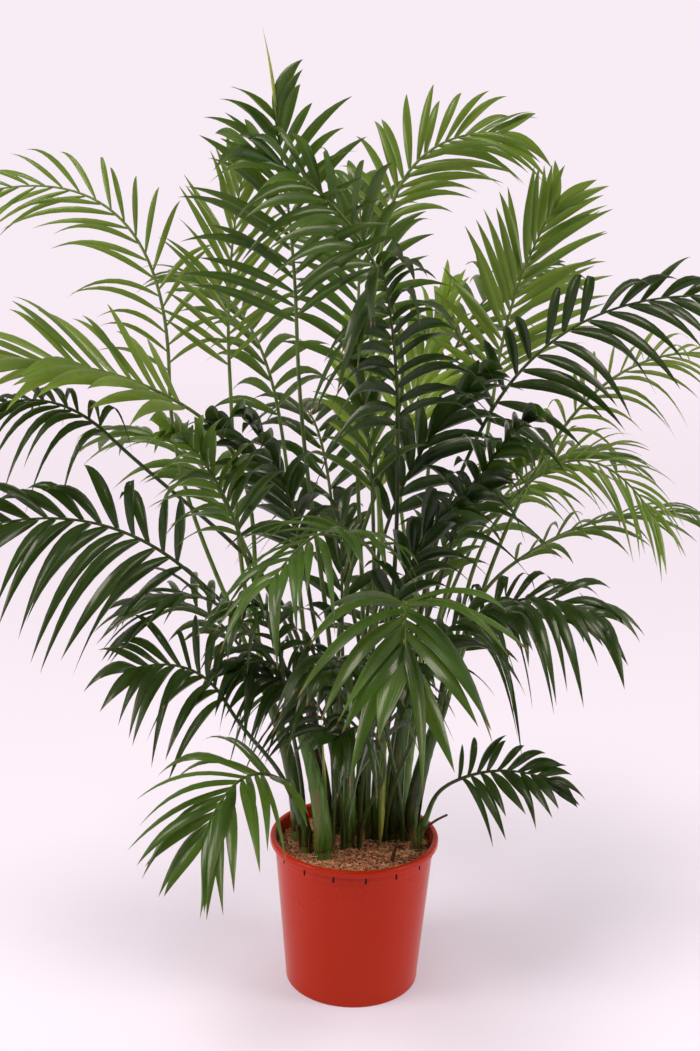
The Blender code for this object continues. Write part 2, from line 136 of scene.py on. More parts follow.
def new_tree(name, **inputs):
    """A geometry tree with these inputs, its adder of nodes, its input sockets and its output."""
    tree = bpy.data.node_groups.new(name, "GeometryNodeTree")
    tree.interface.new_socket("Geometry", in_out="OUTPUT", socket_type="NodeSocketGeometry")
    for kind, labels in {"Geometry": "Geometry", **inputs}.items():
        for label in labels.split(", "):
            tree.interface.new_socket(label, in_out="INPUT", socket_type=f"NodeSocket{kind}")
    given = tree.nodes.new("NodeGroupInput").outputs
    return tree, partial(add, tree), given, tree.nodes.new("NodeGroupOutput")


def put(name, data):
    """A new object in the scene, at the origin."""
    made = bpy.data.objects.new(name, data)
    bpy.context.scene.collection.objects.link(made)
    return made


def settled(maker):
    """The object's evaluated mesh as a piece of the plant, and the object gone."""
    bpy.context.view_layer.update()
    graph = bpy.context.evaluated_depsgraph_get()
    mesh = bpy.data.meshes.new_from_object(maker.evaluated_get(graph))
    name = maker.name
    bpy.data.objects.remove(maker)
    pieces[name] = put(name, mesh)
    print(f"{name}: {len(mesh.polygons)} faces")
    return mesh


def grow(name, mesh, tree, **inputs):
    """Runs a geometry tree on a mesh. An input's name has _ for each space."""
    maker = put(name, mesh)
    modifier = maker.modifiers.new("Grow", "NODES")
    modifier.node_group = tree
    for item in tree.interface.items_tree:
        key = item.name.lower().replace(" ", "_")
        if item.in_out == "INPUT" and key in inputs:
            modifier[item.identifier] = inputs[key]
    return settled(maker)


def lines(paths, **values):
    """A mesh of paths. Each value lists, path by path, one number or vector, or one for each point."""
    mesh = bpy.data.meshes.new("lines")
    edges = []
    first = 0
    for path in paths:
        edges += [(first + i, first + i + 1) for i in range(len(path) - 1)]
        first += len(path)
    mesh.from_pydata([point for path in paths for point in path], edges, [])
    for label, given in values.items():
        spread = []
        for path, value in zip(paths, given):
            spread += value if isinstance(value, list) else [value] * len(path)
        if isinstance(spread[0], Vector):
            vectors = mesh.attributes.new(label, "FLOAT_VECTOR", "POINT")
            vectors.data.foreach_set("vector", np.array(spread).ravel())
        else:
            kind = "INT" if isinstance(spread[0], int) else "FLOAT"
            mesh.attributes.new(label, kind, "POINT").data.foreach_set("value", spread)
    return mesh


def loft(work, rows, count):
    """Faces between each two rows of vertices. A row that is too short begins again."""
    for one, other in zip(rows, rows[1:]):
        for i in range(count):
            corners = [one[i % len(one)], one[(i + 1) % len(one)]]
            corners += [other[(i + 1) % len(other)], other[i % len(other)]]
            work.faces.new(list(dict.fromkeys(corners)))


def baked(name, work, outward=False):
    """A mesh from what was built by hand, its faces turned outward where that is asked."""
    if outward:
        bmesh.ops.recalc_face_normals(work, faces=work.faces)
    mesh = bpy.data.meshes.new(name)
    work.to_mesh(mesh)
    work.free()
    return mesh


sample = lines([[(0, 0, 0), (0, 0, 1), (0, 1, 1)]], thickness=[0.1])
print("a path of", len(sample.vertices), "points has", len(sample.edges), "edges")
bpy.data.meshes.remove(sample)

# %% [markdown]
# ## The plant's own list
#
# A palm follows a plan, so it is described and not drawn: each cane by where it stands and leans,
# each frond by its cane, its knee, where the leaflets begin, and its tip. A knee or tip is a bearing,
# a reach from the pot's axis and a height. These are the fronds of the solids; the scene adds how
# broad their leaflets are and their green. First comes the left side, then the middle, right and back.

# %% Canes and fronds
UP = Vector((0, 0, 1))
GAP = 0.0003
POT_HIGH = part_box("pot")[1]
SOIL_LOW, SOIL_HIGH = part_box("soil")
SOIL_TOP = SOIL_HIGH.z


class Cane(NamedTuple):
    name: str
    x: float
    y: float
    radius: float
    height: float  # above the soil
    bearing: float
    lean: float  # degrees from upright, from foot to top


class Frond(NamedTuple):
    name: str
    cane: str
    green: str
    knee: list
    tip: list
    rise: float  # how far the blade's middle stands above the line from knee to tip
    leaflet: float  # length of the longest leaflet
    pairs: float  # of the solids' leaflets, which stand for more and finer ones
    sag: float  # how far a leaflet's tip falls, over its length
    faces: list  # bearing and elevation that the upper face looks to
    breadth: float = 1.0  # of its leaflets, against the usual
    lift: float = 0.0  # degrees that its leaflets stand up above the usual
    swept: float = 0.0  # degrees that its leaflets lie closer to the rib than usual


def listed(text):
    """A frond for each line, whose columns are in the order above."""
    for line in text.strip().splitlines():
        name, cane, green, *rest = line.split()
        v = [float(number) for number in rest]
        yield Frond(name, cane, green, v[:3], v[3:6], *v[6:10], v[10:12], *v[12:])


CANES = (
    Cane("cane_a", -0.103, 0.024, 0.0130, 0.25, 165, 12),
    Cane("cane_b", -0.056, -0.051, 0.0150, 0.22, 190, 9),
    Cane("cane_c", -0.021, 0.055, 0.0135, 0.28, 150, 4),
    Cane("cane_d", 0.016, 0.110, 0.0120, 0.24, 90, 8),
    Cane("cane_e", 0.042, 0.034, 0.0120, 0.30, 300, 3),
    Cane("cane_f", 0.073, 0.034, 0.0130, 0.26, 330, 4),
    Cane("cane_g", 0.106, 0.030, 0.0130, 0.23, 0, 10),
    Cane("cane_h", 0.088, 0.093, 0.0125, 0.25, 45, 9),
    Cane("cane_i", -0.065, 0.088, 0.0125, 0.24, 130, 9),
    Cane("cane_j", -0.012, -0.002, 0.0125, 0.20, 270, 3),
    Cane("shoot_left", -0.086, -0.030, 0.0110, 0.09, 205, 12),
    Cane("shoot_right", 0.116, -0.012, 0.0090, 0.04, 350, 10),
)
FRONDS = tuple(listed("""
left_high       cane_a pale  164 0.36 1.11   164 0.76 1.41   0.165 0.19 11 0.30  270 20  0.72
left_bright     cane_a pale  180 0.30 1.07   190 0.71 1.13   0.05 0.24 11 0.20  245 66  1.35 4
left_small      cane_i dark  190 0.42 1.01   183 0.62 1.06   0.03 0.14 8 0.60  270 60
left_dark       cane_b dark  199 0.31 0.81   198 0.66 0.90   0.05 0.20 10 0.30  265 35  1.1
left_inner      cane_b mid   217 0.25 0.88   226 0.42 1.09   0.02 0.18 9 0.20  280 20  1.1 0 14
left_slim       cane_a pale  157 0.26 1.125  155 0.24 1.46   0.01 0.19 9 0.10  285 10  0.85
left_mid        cane_b dark  205 0.235 0.79  205 0.37 0.77   0.03 0.16 7 0.30  0 90  1.0 0 12
low_left        shoot_left dark  212 0.265 0.59  212 0.43 0.68  0.03 0.17 8 0.25  280 45  1.1
low_front       shoot_left mid  236 0.24 0.48  235 0.42 0.445  0.045 0.18 8 0.35  260 60  1.35
top_left        cane_c mid   203 0.125 1.22  212 0.18 1.56   0.01 0.22 10 0.15  265 10  0.85
top_right       cane_e pale  60 0.06 1.38    24 0.25 1.54    0.055 0.17 9 0.25  270 30  1.15
centre_left     cane_c mid   284 0.05 1.29   224 0.26 1.50   0.03 0.20 8 0.25  275 25  1.1 0 10
centre_right    cane_e dark  299 0.115 1.06  274 0.25 1.34   0.03 0.21 10 0.40  290 15  1.15
front_left      cane_j mid   275 0.16 0.87   254 0.47 0.90   0.05 0.17 9 0.45  0 90  0.95
front_right     cane_f mid   282 0.31 0.82   278 0.47 0.79   0.035 0.21 7 0.40  0 90  1.55
low_inner       cane_j mid   275 0.10 0.54   250 0.20 0.66   0.01 0.12 6 0.30  0 90
right_high      cane_h pale  22 0.25 1.11    24 0.36 1.42    0.02 0.20 11 0.12  275 15
right_dark      cane_f dark  0 0.20 1.04     355 0.58 1.285  0.075 0.18 11 0.25  270 30
right_far       cane_g pale  8 0.34 1.02     8 0.71 1.15     0.08 0.14 10 0.50  270 55  0.8
right_inner     cane_f dark  340 0.14 0.87   322 0.31 1.11   0.02 0.18 9 0.25  260 20  1.35 0 14
right_arch      cane_g pale  0 0.26 0.92     348 0.50 0.92   0.085 0.14 10 0.40  270 40  0.7
right_mid       cane_g mid   2 0.265 0.80    5 0.66 0.88     0.05 0.15 10 0.30  0 90
right_low       cane_f dark  345 0.19 0.68   338 0.42 0.765  0.05 0.18 9 0.45  270 55  1.1
low_right       shoot_right dark  344 0.185 0.415  344 0.36 0.44  0.02 0.11 8 0.20  270 40  1.5
back_centre     cane_d fresh 78 0.15 0.88    94 0.35 1.15    0.03 0.20 8 0.25  0 90  1.0 0 14
back_inner      cane_h fresh 56 0.13 0.99    60 0.29 1.24    0.02 0.20 8 0.25  0 90  1.0 0 14
back_top        cane_d mid   95 0.15 1.12    92 0.36 1.44    0.04 0.20 9 0.20  0 90
back_left_high  cane_i mid   128 0.25 1.02   130 0.58 1.26   0.08 0.20 9 0.30  0 90
back_right_high cane_h mid   55 0.24 1.05    52 0.58 1.28    0.08 0.20 9 0.30  0 90
back_left_mid   cane_i mid   145 0.28 0.82   143 0.62 0.95   0.07 0.20 9 0.30  0 90
back_mid        cane_d dark  102 0.25 0.82   104 0.60 0.98   0.08 0.20 9 0.30  0 90
back_right_mid  cane_h mid   38 0.27 0.80    36 0.62 0.93    0.07 0.20 9 0.30  0 90
back_left_low   cane_i dark  160 0.22 0.60   158 0.46 0.66   0.05 0.17 8 0.30  0 90
back_low        cane_d dark  82 0.22 0.58    80 0.46 0.62    0.05 0.17 8 0.30  0 90
back_right_low  cane_g dark  18 0.22 0.58    20 0.46 0.63    0.05 0.17 8 0.30  0 90
"""))
print(len(CANES), "canes and", len(FRONDS), "fronds")

# %% [markdown]
# ## Where each stalk and rib runs
#
# A frond is two Bezier curves that meet smoothly at its knee: a stalk that leaves the cane along the
# cane's own direction, and a blade that arches from knee to tip. Two stalks can't run through each
# other, so each knee is nudged, a little further on each try, until a string of beads along its
# frond clears every frond before it. The tries are seeded by the frond's name, so they come out as
# they did for the solids.

# %% Paths
CANE_SECTIONS = 5
CANE_FOOT_FLARE = 1.15
CANE_STRAIGHT = 0.45  # share of the height over which a cane stands upright
STALK_RADIUS = 0.0046  # at the cane
KNEE_RADIUS = 0.0032
TIP_RADIUS = 0.0014
COLLAR = 0.012  # the first stretch of a cane or stalk, square to what it stands on
STALK_SECTIONS = 3
BLADE_SECTIONS = 6
STALK_EASE = 0.38  # share of the stalk's length over which its ends hold their direction
RIB_CLEARANCE = 0.0006
BEAD_SPACING = 0.006
SHIFT_STEP = 0.002
MOST_SHIFTS = 40
SEED = 7


def evenly(first, last, count):
    return [first + (last - first) * i / (count - 1) for i in range(count)]


def heading(degrees):
    angle = math.radians(degrees)
    return Vector((math.cos(angle), math.sin(angle), 0))


def spot(bearing, reach, height):
    return reach * heading(bearing) + height * UP


def curve(corners, sections):
    """Points along the Bezier curve with these corners."""
    points = []
    for share in evenly(0, 1, sections + 1):
        level = corners
        while len(level) > 1:
            level = [a.lerp(b, share) for a, b in zip(level, level[1:])]
        points.append(level[0])
    return points


def cane_path(cane, sections=CANE_SECTIONS):
    """Straight up from the soil, and then leaning."""
    foot = Vector((cane.x, cane.y, SOIL_TOP + GAP))
    slope = math.tan(math.radians(cane.lean))
    top = foot + cane.height * (UP + slope * heading(cane.bearing))
    return [foot] + curve([foot + COLLAR * UP, foot + CANE_STRAIGHT * cane.height * UP, top], sections)


def stalk_starts(cane):
    """By frond, where its stalk stands on the cane's top, the cane's direction there and the way out.

    The stalks stand in a ring, each as near as can be to its own side, so that none crosses another.
    """
    path = cane_path(cane)
    top = path[-1]
    axis = (top - path[-2]).normalized()
    ways = {frond.name: spot(*frond.knee) - top for frond in FRONDS if frond.cane == cane.name}
    middle = sum((way.normalized() for way in ways.values()), Vector())
    middle = math.atan2(middle.y, middle.x)
    turns = {}
    for name, way in ways.items():
        turns[name] = math.remainder(math.atan2(way.y, way.x) - middle, 2 * math.pi)
    names = sorted(turns, key=turns.get)
    step = 2 * math.pi / len(names)
    first = middle + sum(turns[name] - i * step for i, name in enumerate(names)) / len(names)
    ring = (STALK_RADIUS + RIB_CLEARANCE) / math.sin(step / 2) if len(names) > 1 else 0
    found = {}
    for i, name in enumerate(names):
        out = heading(math.degrees(first + i * step))
        out = (out - out.dot(axis) * axis).normalized()
        found[name] = (top + GAP * axis + ring * out, axis, out)
    return found


def blade_corners(frond, shift):
    """The blade's Bezier corners, with the knee moved by the shift and the tip by half of it."""
    knee = spot(*frond.knee) + shift
    tip = spot(*frond.tip) + shift / 2
    along = (tip - knee).normalized()
    above = (UP - UP.dot(along) * along).normalized()
    return [knee, (knee + tip) / 2 + 2 * frond.rise * above, tip]


def stalk_path(corners, start, axis, sections):
    """From the cane's top to the knee, where it goes on into the blade."""
    knee = corners[0]
    first = start + COLLAR * axis
    ease = STALK_EASE * (knee - first).length
    onward = (corners[1] - knee).normalized()
    return [start] + curve([first, first + ease * axis, knee - ease * onward, knee], sections)


tallest = max(CANES, key=lambda cane: cane.height)
print("tallest cane:", tallest.name, "whose top is at", [round(v, 3) for v in cane_path(tallest)[-1]])

# %% Routes that clear each other
def beads(path, radii):
    """Rows of x, y, z and radius, close together along a tube."""
    rows = []
    for a, b, radius_a, radius_b in zip(path, path[1:], radii, radii[1:]):
        count = max(1, round((b - a).length / BEAD_SPACING))
        for i in range(count):
            rows.append((*a.lerp(b, i / count), radius_a + (radius_b - radius_a) * i / count))
    return np.array(rows)


def beads_meet(one, other):
    apart = np.linalg.norm(one[:, None, :3] - other[None, :, :3], axis=2)
    return bool((apart < one[:, None, 3] + other[None, :, 3] + RIB_CLEARANCE).any())


def frond_line(frond, corners, stalk=STALK_SECTIONS, blade=BLADE_SECTIONS):
    """The frond's path from the cane's top to the blade's tip, and its radius at each point."""
    start, axis, _ = starts[frond.name]
    path = stalk_path(corners, start, axis, stalk) + curve(corners, blade)[1:]
    radii = evenly(STALK_RADIUS, KNEE_RADIUS, stalk + 2) + evenly(KNEE_RADIUS, TIP_RADIUS, blade + 1)[1:]
    return path, radii


def route_fronds(fronds):
    """Finds each frond's blade corners, moved a little where it would meet what is placed."""
    for frond in fronds:
        chances = random.Random(f"{frond.name} {SEED}")
        others = [rows for name, rows in placed.items() if name != frond.cane]
        for step in range(MOST_SHIFTS):
            shift = step * SHIFT_STEP * Vector([chances.uniform(-1, 1) for _ in range(3)])
            corners = blade_corners(frond, shift)
            own = beads(*frond_line(frond, corners))
            if not any(beads_meet(own, other) for other in others):
                break
        placed[frond.name] = own
        routes[frond.name] = corners


starts = {}
placed = {}
routes = {}
for cane in CANES:
    starts.update(stalk_starts(cane))
    radii = [CANE_FOOT_FLARE * cane.radius] + [cane.radius] * (CANE_SECTIONS + 1)
    placed[cane.name] = beads(cane_path(cane), radii)
route_fronds(FRONDS)
nudged = [frond.name for frond in FRONDS if (routes[frond.name][0] - spot(*frond.knee)).length > 0]
print("nudged to pass another:", ", ".join(nudged))

# %% [markdown]
# ## Young fronds
#
# Such a pot holds many seedlings, so beside the canes short young fronds stand straight in the soil.
# They make the middle of the clump dark and dense. Their leaflets are few, broad and swept along the
# rib, as they haven't opened out yet. They clear the grown fronds and stay well inside the crown.
# Each has the place where it stands instead of a cane.

# %% Fronds that rise from the soil
YOUNG_SUNK = 0.006  # how deep their feet stand
YOUNG = tuple(listed("""
young_1  -0.038,0.042  dark  212 0.12 0.84  222 0.26 1.10  0.02 0.19 7 0.25  275 20  1.1 0 24
young_2  0.009,0.003   dark  300 0.12 0.74  322 0.25 0.98  0.03 0.19 7 0.25  270 25  1.3 0 24
young_3  -0.092,0.000  dark  222 0.17 0.66  236 0.33 0.80  0.04 0.17 7 0.35  262 35  1.2 0 18
young_4  0.058,0.018   dark  318 0.16 0.62  318 0.33 0.78  0.05 0.17 7 0.35  275 35  1.1 0 18
young_5  0.020,0.070   dark  40 0.06 0.86   352 0.20 1.14  0.02 0.20 8 0.20  270 15  1.25 0 26
young_6  -0.030,0.090  dark  150 0.10 0.80  178 0.24 1.04  0.03 0.19 7 0.25  268 20  1.1 0 26
young_7  0.058,0.075   mid   25 0.13 0.72   8 0.28 0.98    0.03 0.18 7 0.25  272 20  1.2 0 22
young_8  -0.040,-0.034 dark  255 0.12 0.60  262 0.28 0.70  0.04 0.16 8 0.50  270 40  1.4
young_9  0.024,0.024   mid   290 0.05 0.94  262 0.17 1.20  0.02 0.19 7 0.20  275 15  1.0 0 26
young_11 0.010,-0.014  dark  290 0.13 0.50  262 0.24 0.57  0.03 0.15 7 0.40  270 45  1.4
young_12 -0.020,-0.020 dark  230 0.09 0.50  212 0.20 0.62  0.03 0.15 7 0.40  268 40  1.4
young_10 0.000,0.040   dark  120 0.06 0.66  100 0.24 0.86  0.03 0.17 7 0.30  0 90  1.1 0 20
young_13 -0.045,0.060  dark  205 0.10 0.58  212 0.25 0.66  0.04 0.16 8 0.40  268 35  1.2 0 8
young_14 0.090,0.015   dark  312 0.09 0.56  296 0.22 0.66  0.04 0.16 8 0.40  272 35  1.2 0 8
"""))
for frond in YOUNG:
    x, y = [float(number) for number in frond.cane.split(",")]
    starts[frond.name] = (Vector((x, y, SOIL_TOP - YOUNG_SUNK)), UP, heading(frond.knee[0]))
route_fronds(YOUNG)
print("young fronds:", len(YOUNG))

# %% [markdown]
# ## What the leaves are made of
#
# A palm leaflet is thin, tough and waxy. The wax gives a broad soft shine, and thin veins run from
# root to tip. Held against the light, the blade glows yellow-green. So each leaf material mixes a
# Principled shader for the waxy face and a Translucent one for what shines through. The green drifts
# with noise on Object coordinates. Veins read the leaflet's own UV map, whose X runs across the
# blade. Its pale joint and its dry tip are materials of their own, as a colour with a fixed place is
# safest on faces of its own. Stems have no map: their streaks are noise drawn out along Z.

# %% Materials for everything green
LEAF_IOR = 1.45  # of plant wax
VEINS = 9  # across a leaflet; the real ones are twice as many, too fine to show
DRY_PATCH = 0.016  # breadth of a dried patch on a stem
WAVE_TURNS = 20 / (2 * math.pi)  # stripes of a Wave texture in one unit at scale 1


def new_material(name):
    """A material, its adder of nodes, its Principled shader and its Object coordinates."""
    made = bpy.data.materials.new(name)
    made.use_nodes = True
    tree = made.node_tree
    place = pick(add(tree, "TexCoord").outputs, "Object")
    return made, partial(add, tree), tree.nodes["Principled BSDF"], place


def lumps(node, place, size, detail, **more):
    return node("TexNoise", Vector=place, Scale=1 / size, Detail=detail, **more)


def blend(node, share, one, other):
    return node("Mix", {"data_type": "RGBA"}, share, one, other)


def dress(node, shader, colour, wear, rough, height, bump, **more):
    """Gives a shader its colour, a roughness that follows the wear, and a relief."""
    gloss = node(RANGE, wear, To_Min=rough[0], To_Max=rough[1])
    relief = node("Bump", Strength=bump[0], Distance=bump[1], Height=height)
    feed(shader, Base_Color=colour, Roughness=gloss, Normal=relief, **more)
    return relief


def waxy_leaf(name, young, old, glow, through):
    """A leaflet's skin: its two greens, the colour that shines through it and how much does."""
    made, node, shader, place = new_material(name)
    green = blend(node, node(RANGE, lumps(node, place, 0.12, 3.0), 0.35, 0.65), young, old)
    along = node("UVMap", {"uv_map": "UVMap"})
    bands = {"wave_type": "BANDS", "bands_direction": "X"}
    veins = node("TexWave", bands, Vector=along, Scale=VEINS / WAVE_TURNS, Distortion=0.0)
    specks = lumps(node, place, 0.02, 2.0)
    ridges = pick(veins.outputs, "Fac")
    # The coat is the wax: a sharper shine over the soft one
    relief = dress(
        node, shader, green, specks, (0.22, 0.36), ridges, (0.35, 0.0004), IOR=LEAF_IOR,
        Specular_IOR_Level=0.28, Coat_Weight=0.42, Coat_Roughness=0.12, Coat_IOR=LEAF_IOR,
    )
    behind = node("BsdfTranslucent", Color=glow, Normal=relief)
    both = node("MixShader", through, shader, behind)
    feed(made.node_tree.nodes["Material Output"], Surface=both)
    return made


def plant_skin(name, young, old, grain, rough, dry=None):
    """A stem's skin: two shades that run in streaks along it, and patches that have dried."""
    made, node, shader, place = new_material(name)
    drawn = node("Mapping", {"vector_type": "POINT"}, Vector=place, Scale=(1, 1, 0.12))
    streaks = lumps(node, drawn, grain, 4.0)
    colour = blend(node, node(RANGE, streaks, 0.3, 0.7), young, old)
    if dry:
        patches = lumps(node, drawn, DRY_PATCH, 6.0, Roughness=0.7)
        colour = blend(node, node(RANGE, patches, 0.54, 0.66), colour, dry)
    shine = (rough - 0.08, rough + 0.1)
    relief = (0.4, 0.0006)
    dress(node, shader, colour, streaks, shine, streaks, relief, IOR=LEAF_IOR, Specular_IOR_Level=0.35)
    return made


GREENS = {  # of the leaflets: young, old, what shines through and how much; of the ribs: young, old
    "fresh": ("#75973a", "#5b7b2c", "#b4c94c", 0.36, "#8a9f48", "#688036"),
    "pale": ("#5a7a30", "#435f23", "#a6c04a", 0.34, "#6b833a", "#4a602a"),
    "mid": ("#37561f", "#253c15", "#88ac3a", 0.24, "#5c7334", "#3e5225"),
    "dark": ("#213612", "#15240a", "#5e8624", 0.15, "#435526", "#293819"),
}
LEAVES = {green: waxy_leaf(f"waxy_leaf_{green}", *row[:4]) for green, row in GREENS.items()}
RIBS = {green: plant_skin(f"rib_skin_{green}", *row[4:], 0.004, 0.36) for green, row in GREENS.items()}
JOINT_SKIN = plant_skin("pale_leaflet_joint", "#9ba45a", "#86914a", 0.004, 0.4)
TIP_SKIN = plant_skin("dried_leaflet_tip", "#7d5a33", "#644627", 0.004, 0.6)
print("leaf, rib, joint and tip materials:", len(LEAVES) + len(RIBS) + 2)

# %% [markdown]
# ## Leaflet patterns
#
# A leaflet is a long narrow blade, folded like a shallow roof along its midrib, pinched where it
# joins the rib and drawn to a fine point. Hundreds are needed, so a few patterns, one unit long and
# wide, bow and twist differently, and each copy gets its own size and angle. Every vertex keeps
# how far along it is in `reach`, which later says how far it sags.

# %% Patterns
WAIST = 0.40  # share of the length where a leaflet is widest
ACROSS = (-1, -0.52, 0, 0.52, 1)
STATIONS = (0, 0.03, 0.08, 0.15, 0.24, 0.34, 0.46, 0.58, 0.70, 0.81, 0.90, 0.96, 1)
JOINT_TO = 0.02  # share of the length where the pale joint ends
DRY_FROM = 0.965  # and where the dry tip begins
ROOT_WIDTH = 0.16
ROOF = 0.20  # how far the edges hang below the midrib, over the width


def blade_width(t):
    """The width at this share of the length, at most 1."""
    if t < WAIST:
        return ROOT_WIDTH + (1 - ROOT_WIDTH) * math.sin(math.pi / 2 * t / WAIST) ** 0.75
    return math.cos(math.pi / 2 * (t - WAIST) / (1 - WAIST)) ** 0.95


def leaflet_pattern(name, bow, curl, pleat):
    """A unit leaflet along +Y that bows sideways, curls about its length and is pleated."""
    work = bmesh.new()
    reach = work.verts.layers.float.new("reach")
    uv = work.loops.layers.uv.new("UVMap")
    rows = []
    spread = {}
    for t in STATIONS:
        width = blade_width(t)
        fold = ROOF * (1 + 2.2 * (1 - t) ** 6)
        # The curl turns the row about the midrib. Width and height share one scale.
        cosine, sine = math.cos(curl * t**1.5), math.sin(curl * t**1.5)
        rows.append([])
        for u in ACROSS if width > 0.01 else (0,):
            x = u * width / 2
            z = -fold * abs(u) ** 0.85 * width + pleat * width * (abs(u) == ACROSS[3])
            vert = work.verts.new((bow * t * t + x * cosine - z * sine, t, x * sine + z * cosine))
            vert[reach] = t
            spread[vert] = ((u + 1) / 2, t)
            rows[-1].append(vert)
    loft(work, rows, len(ACROSS) - 1)
    for face in work.faces:
        for loop in face.loops:
            loop[uv].uv = spread[loop.vert]
    mesh = baked(name, work)
    patterns.objects.link(bpy.data.objects.new(name, mesh))
    return len(mesh.polygons)


patterns = bpy.data.collections.new("leaflet_patterns")
shapes = (  # bow, curl and pleat of each pattern
    (0.2, 0.25, 0.05),
    (-1.1, -0.5, 0.03),
    (1.3, 0.2, 0.06),
    (-0.4, 0.8, 0.04),
    (0.6, -0.9, 0.02),
    (0.0, 0.1, 0.05),
)
counts = [leaflet_pattern(f"leaflet_{i}", *shape) for i, shape in enumerate(shapes)]
print("leaflet patterns:", len(counts), "of", counts[0], "faces")

# %% [markdown]
# ## Leaflets along the ribs
#
# The rule of a feather palm: two rows of leaflets leave the rib, set apart a little left and right.
# Near the knee they stand out at a wide angle, and they close up towards the tip. They are longest a
# third of the way along, lift a little out of the blade's plane and turn like the slats of a blind.
# The tree lays a point on the rib for each leaflet, works out where the leaflet looks, and puts a
# pattern there. Once the copies are real mesh, each vertex drops by its share of the sag.

# %% The leaflet tree
def copies(node, given, points, rotation, scale):
    """Real mesh copies, on these points, of the patterns in the tree's collection."""
    shapes = node("CollectionInfo", given["Patterns"], Separate_Children=True, Reset_Children=True)
    last = node(MATH, "SUBTRACT", given["Kinds"], 1.0)
    which = node(CHANCE, {"data_type": "INT"}, Min=0, Max=last, Seed=given["Seed"])
    laid = node(
        "InstanceOnPoints", points, Instance=shapes, Pick_Instance=True,
        Instance_Index=which, Rotation=rotation, Scale=scale,
    )
    return node("RealizeInstances", laid)


def finished(node, given, mesh, smooth=True):
    """The tree's material on this mesh."""
    if smooth:
        mesh = node("SetShadeSmooth", mesh)
    return node("SetMaterial", mesh, Material=given["Material"])


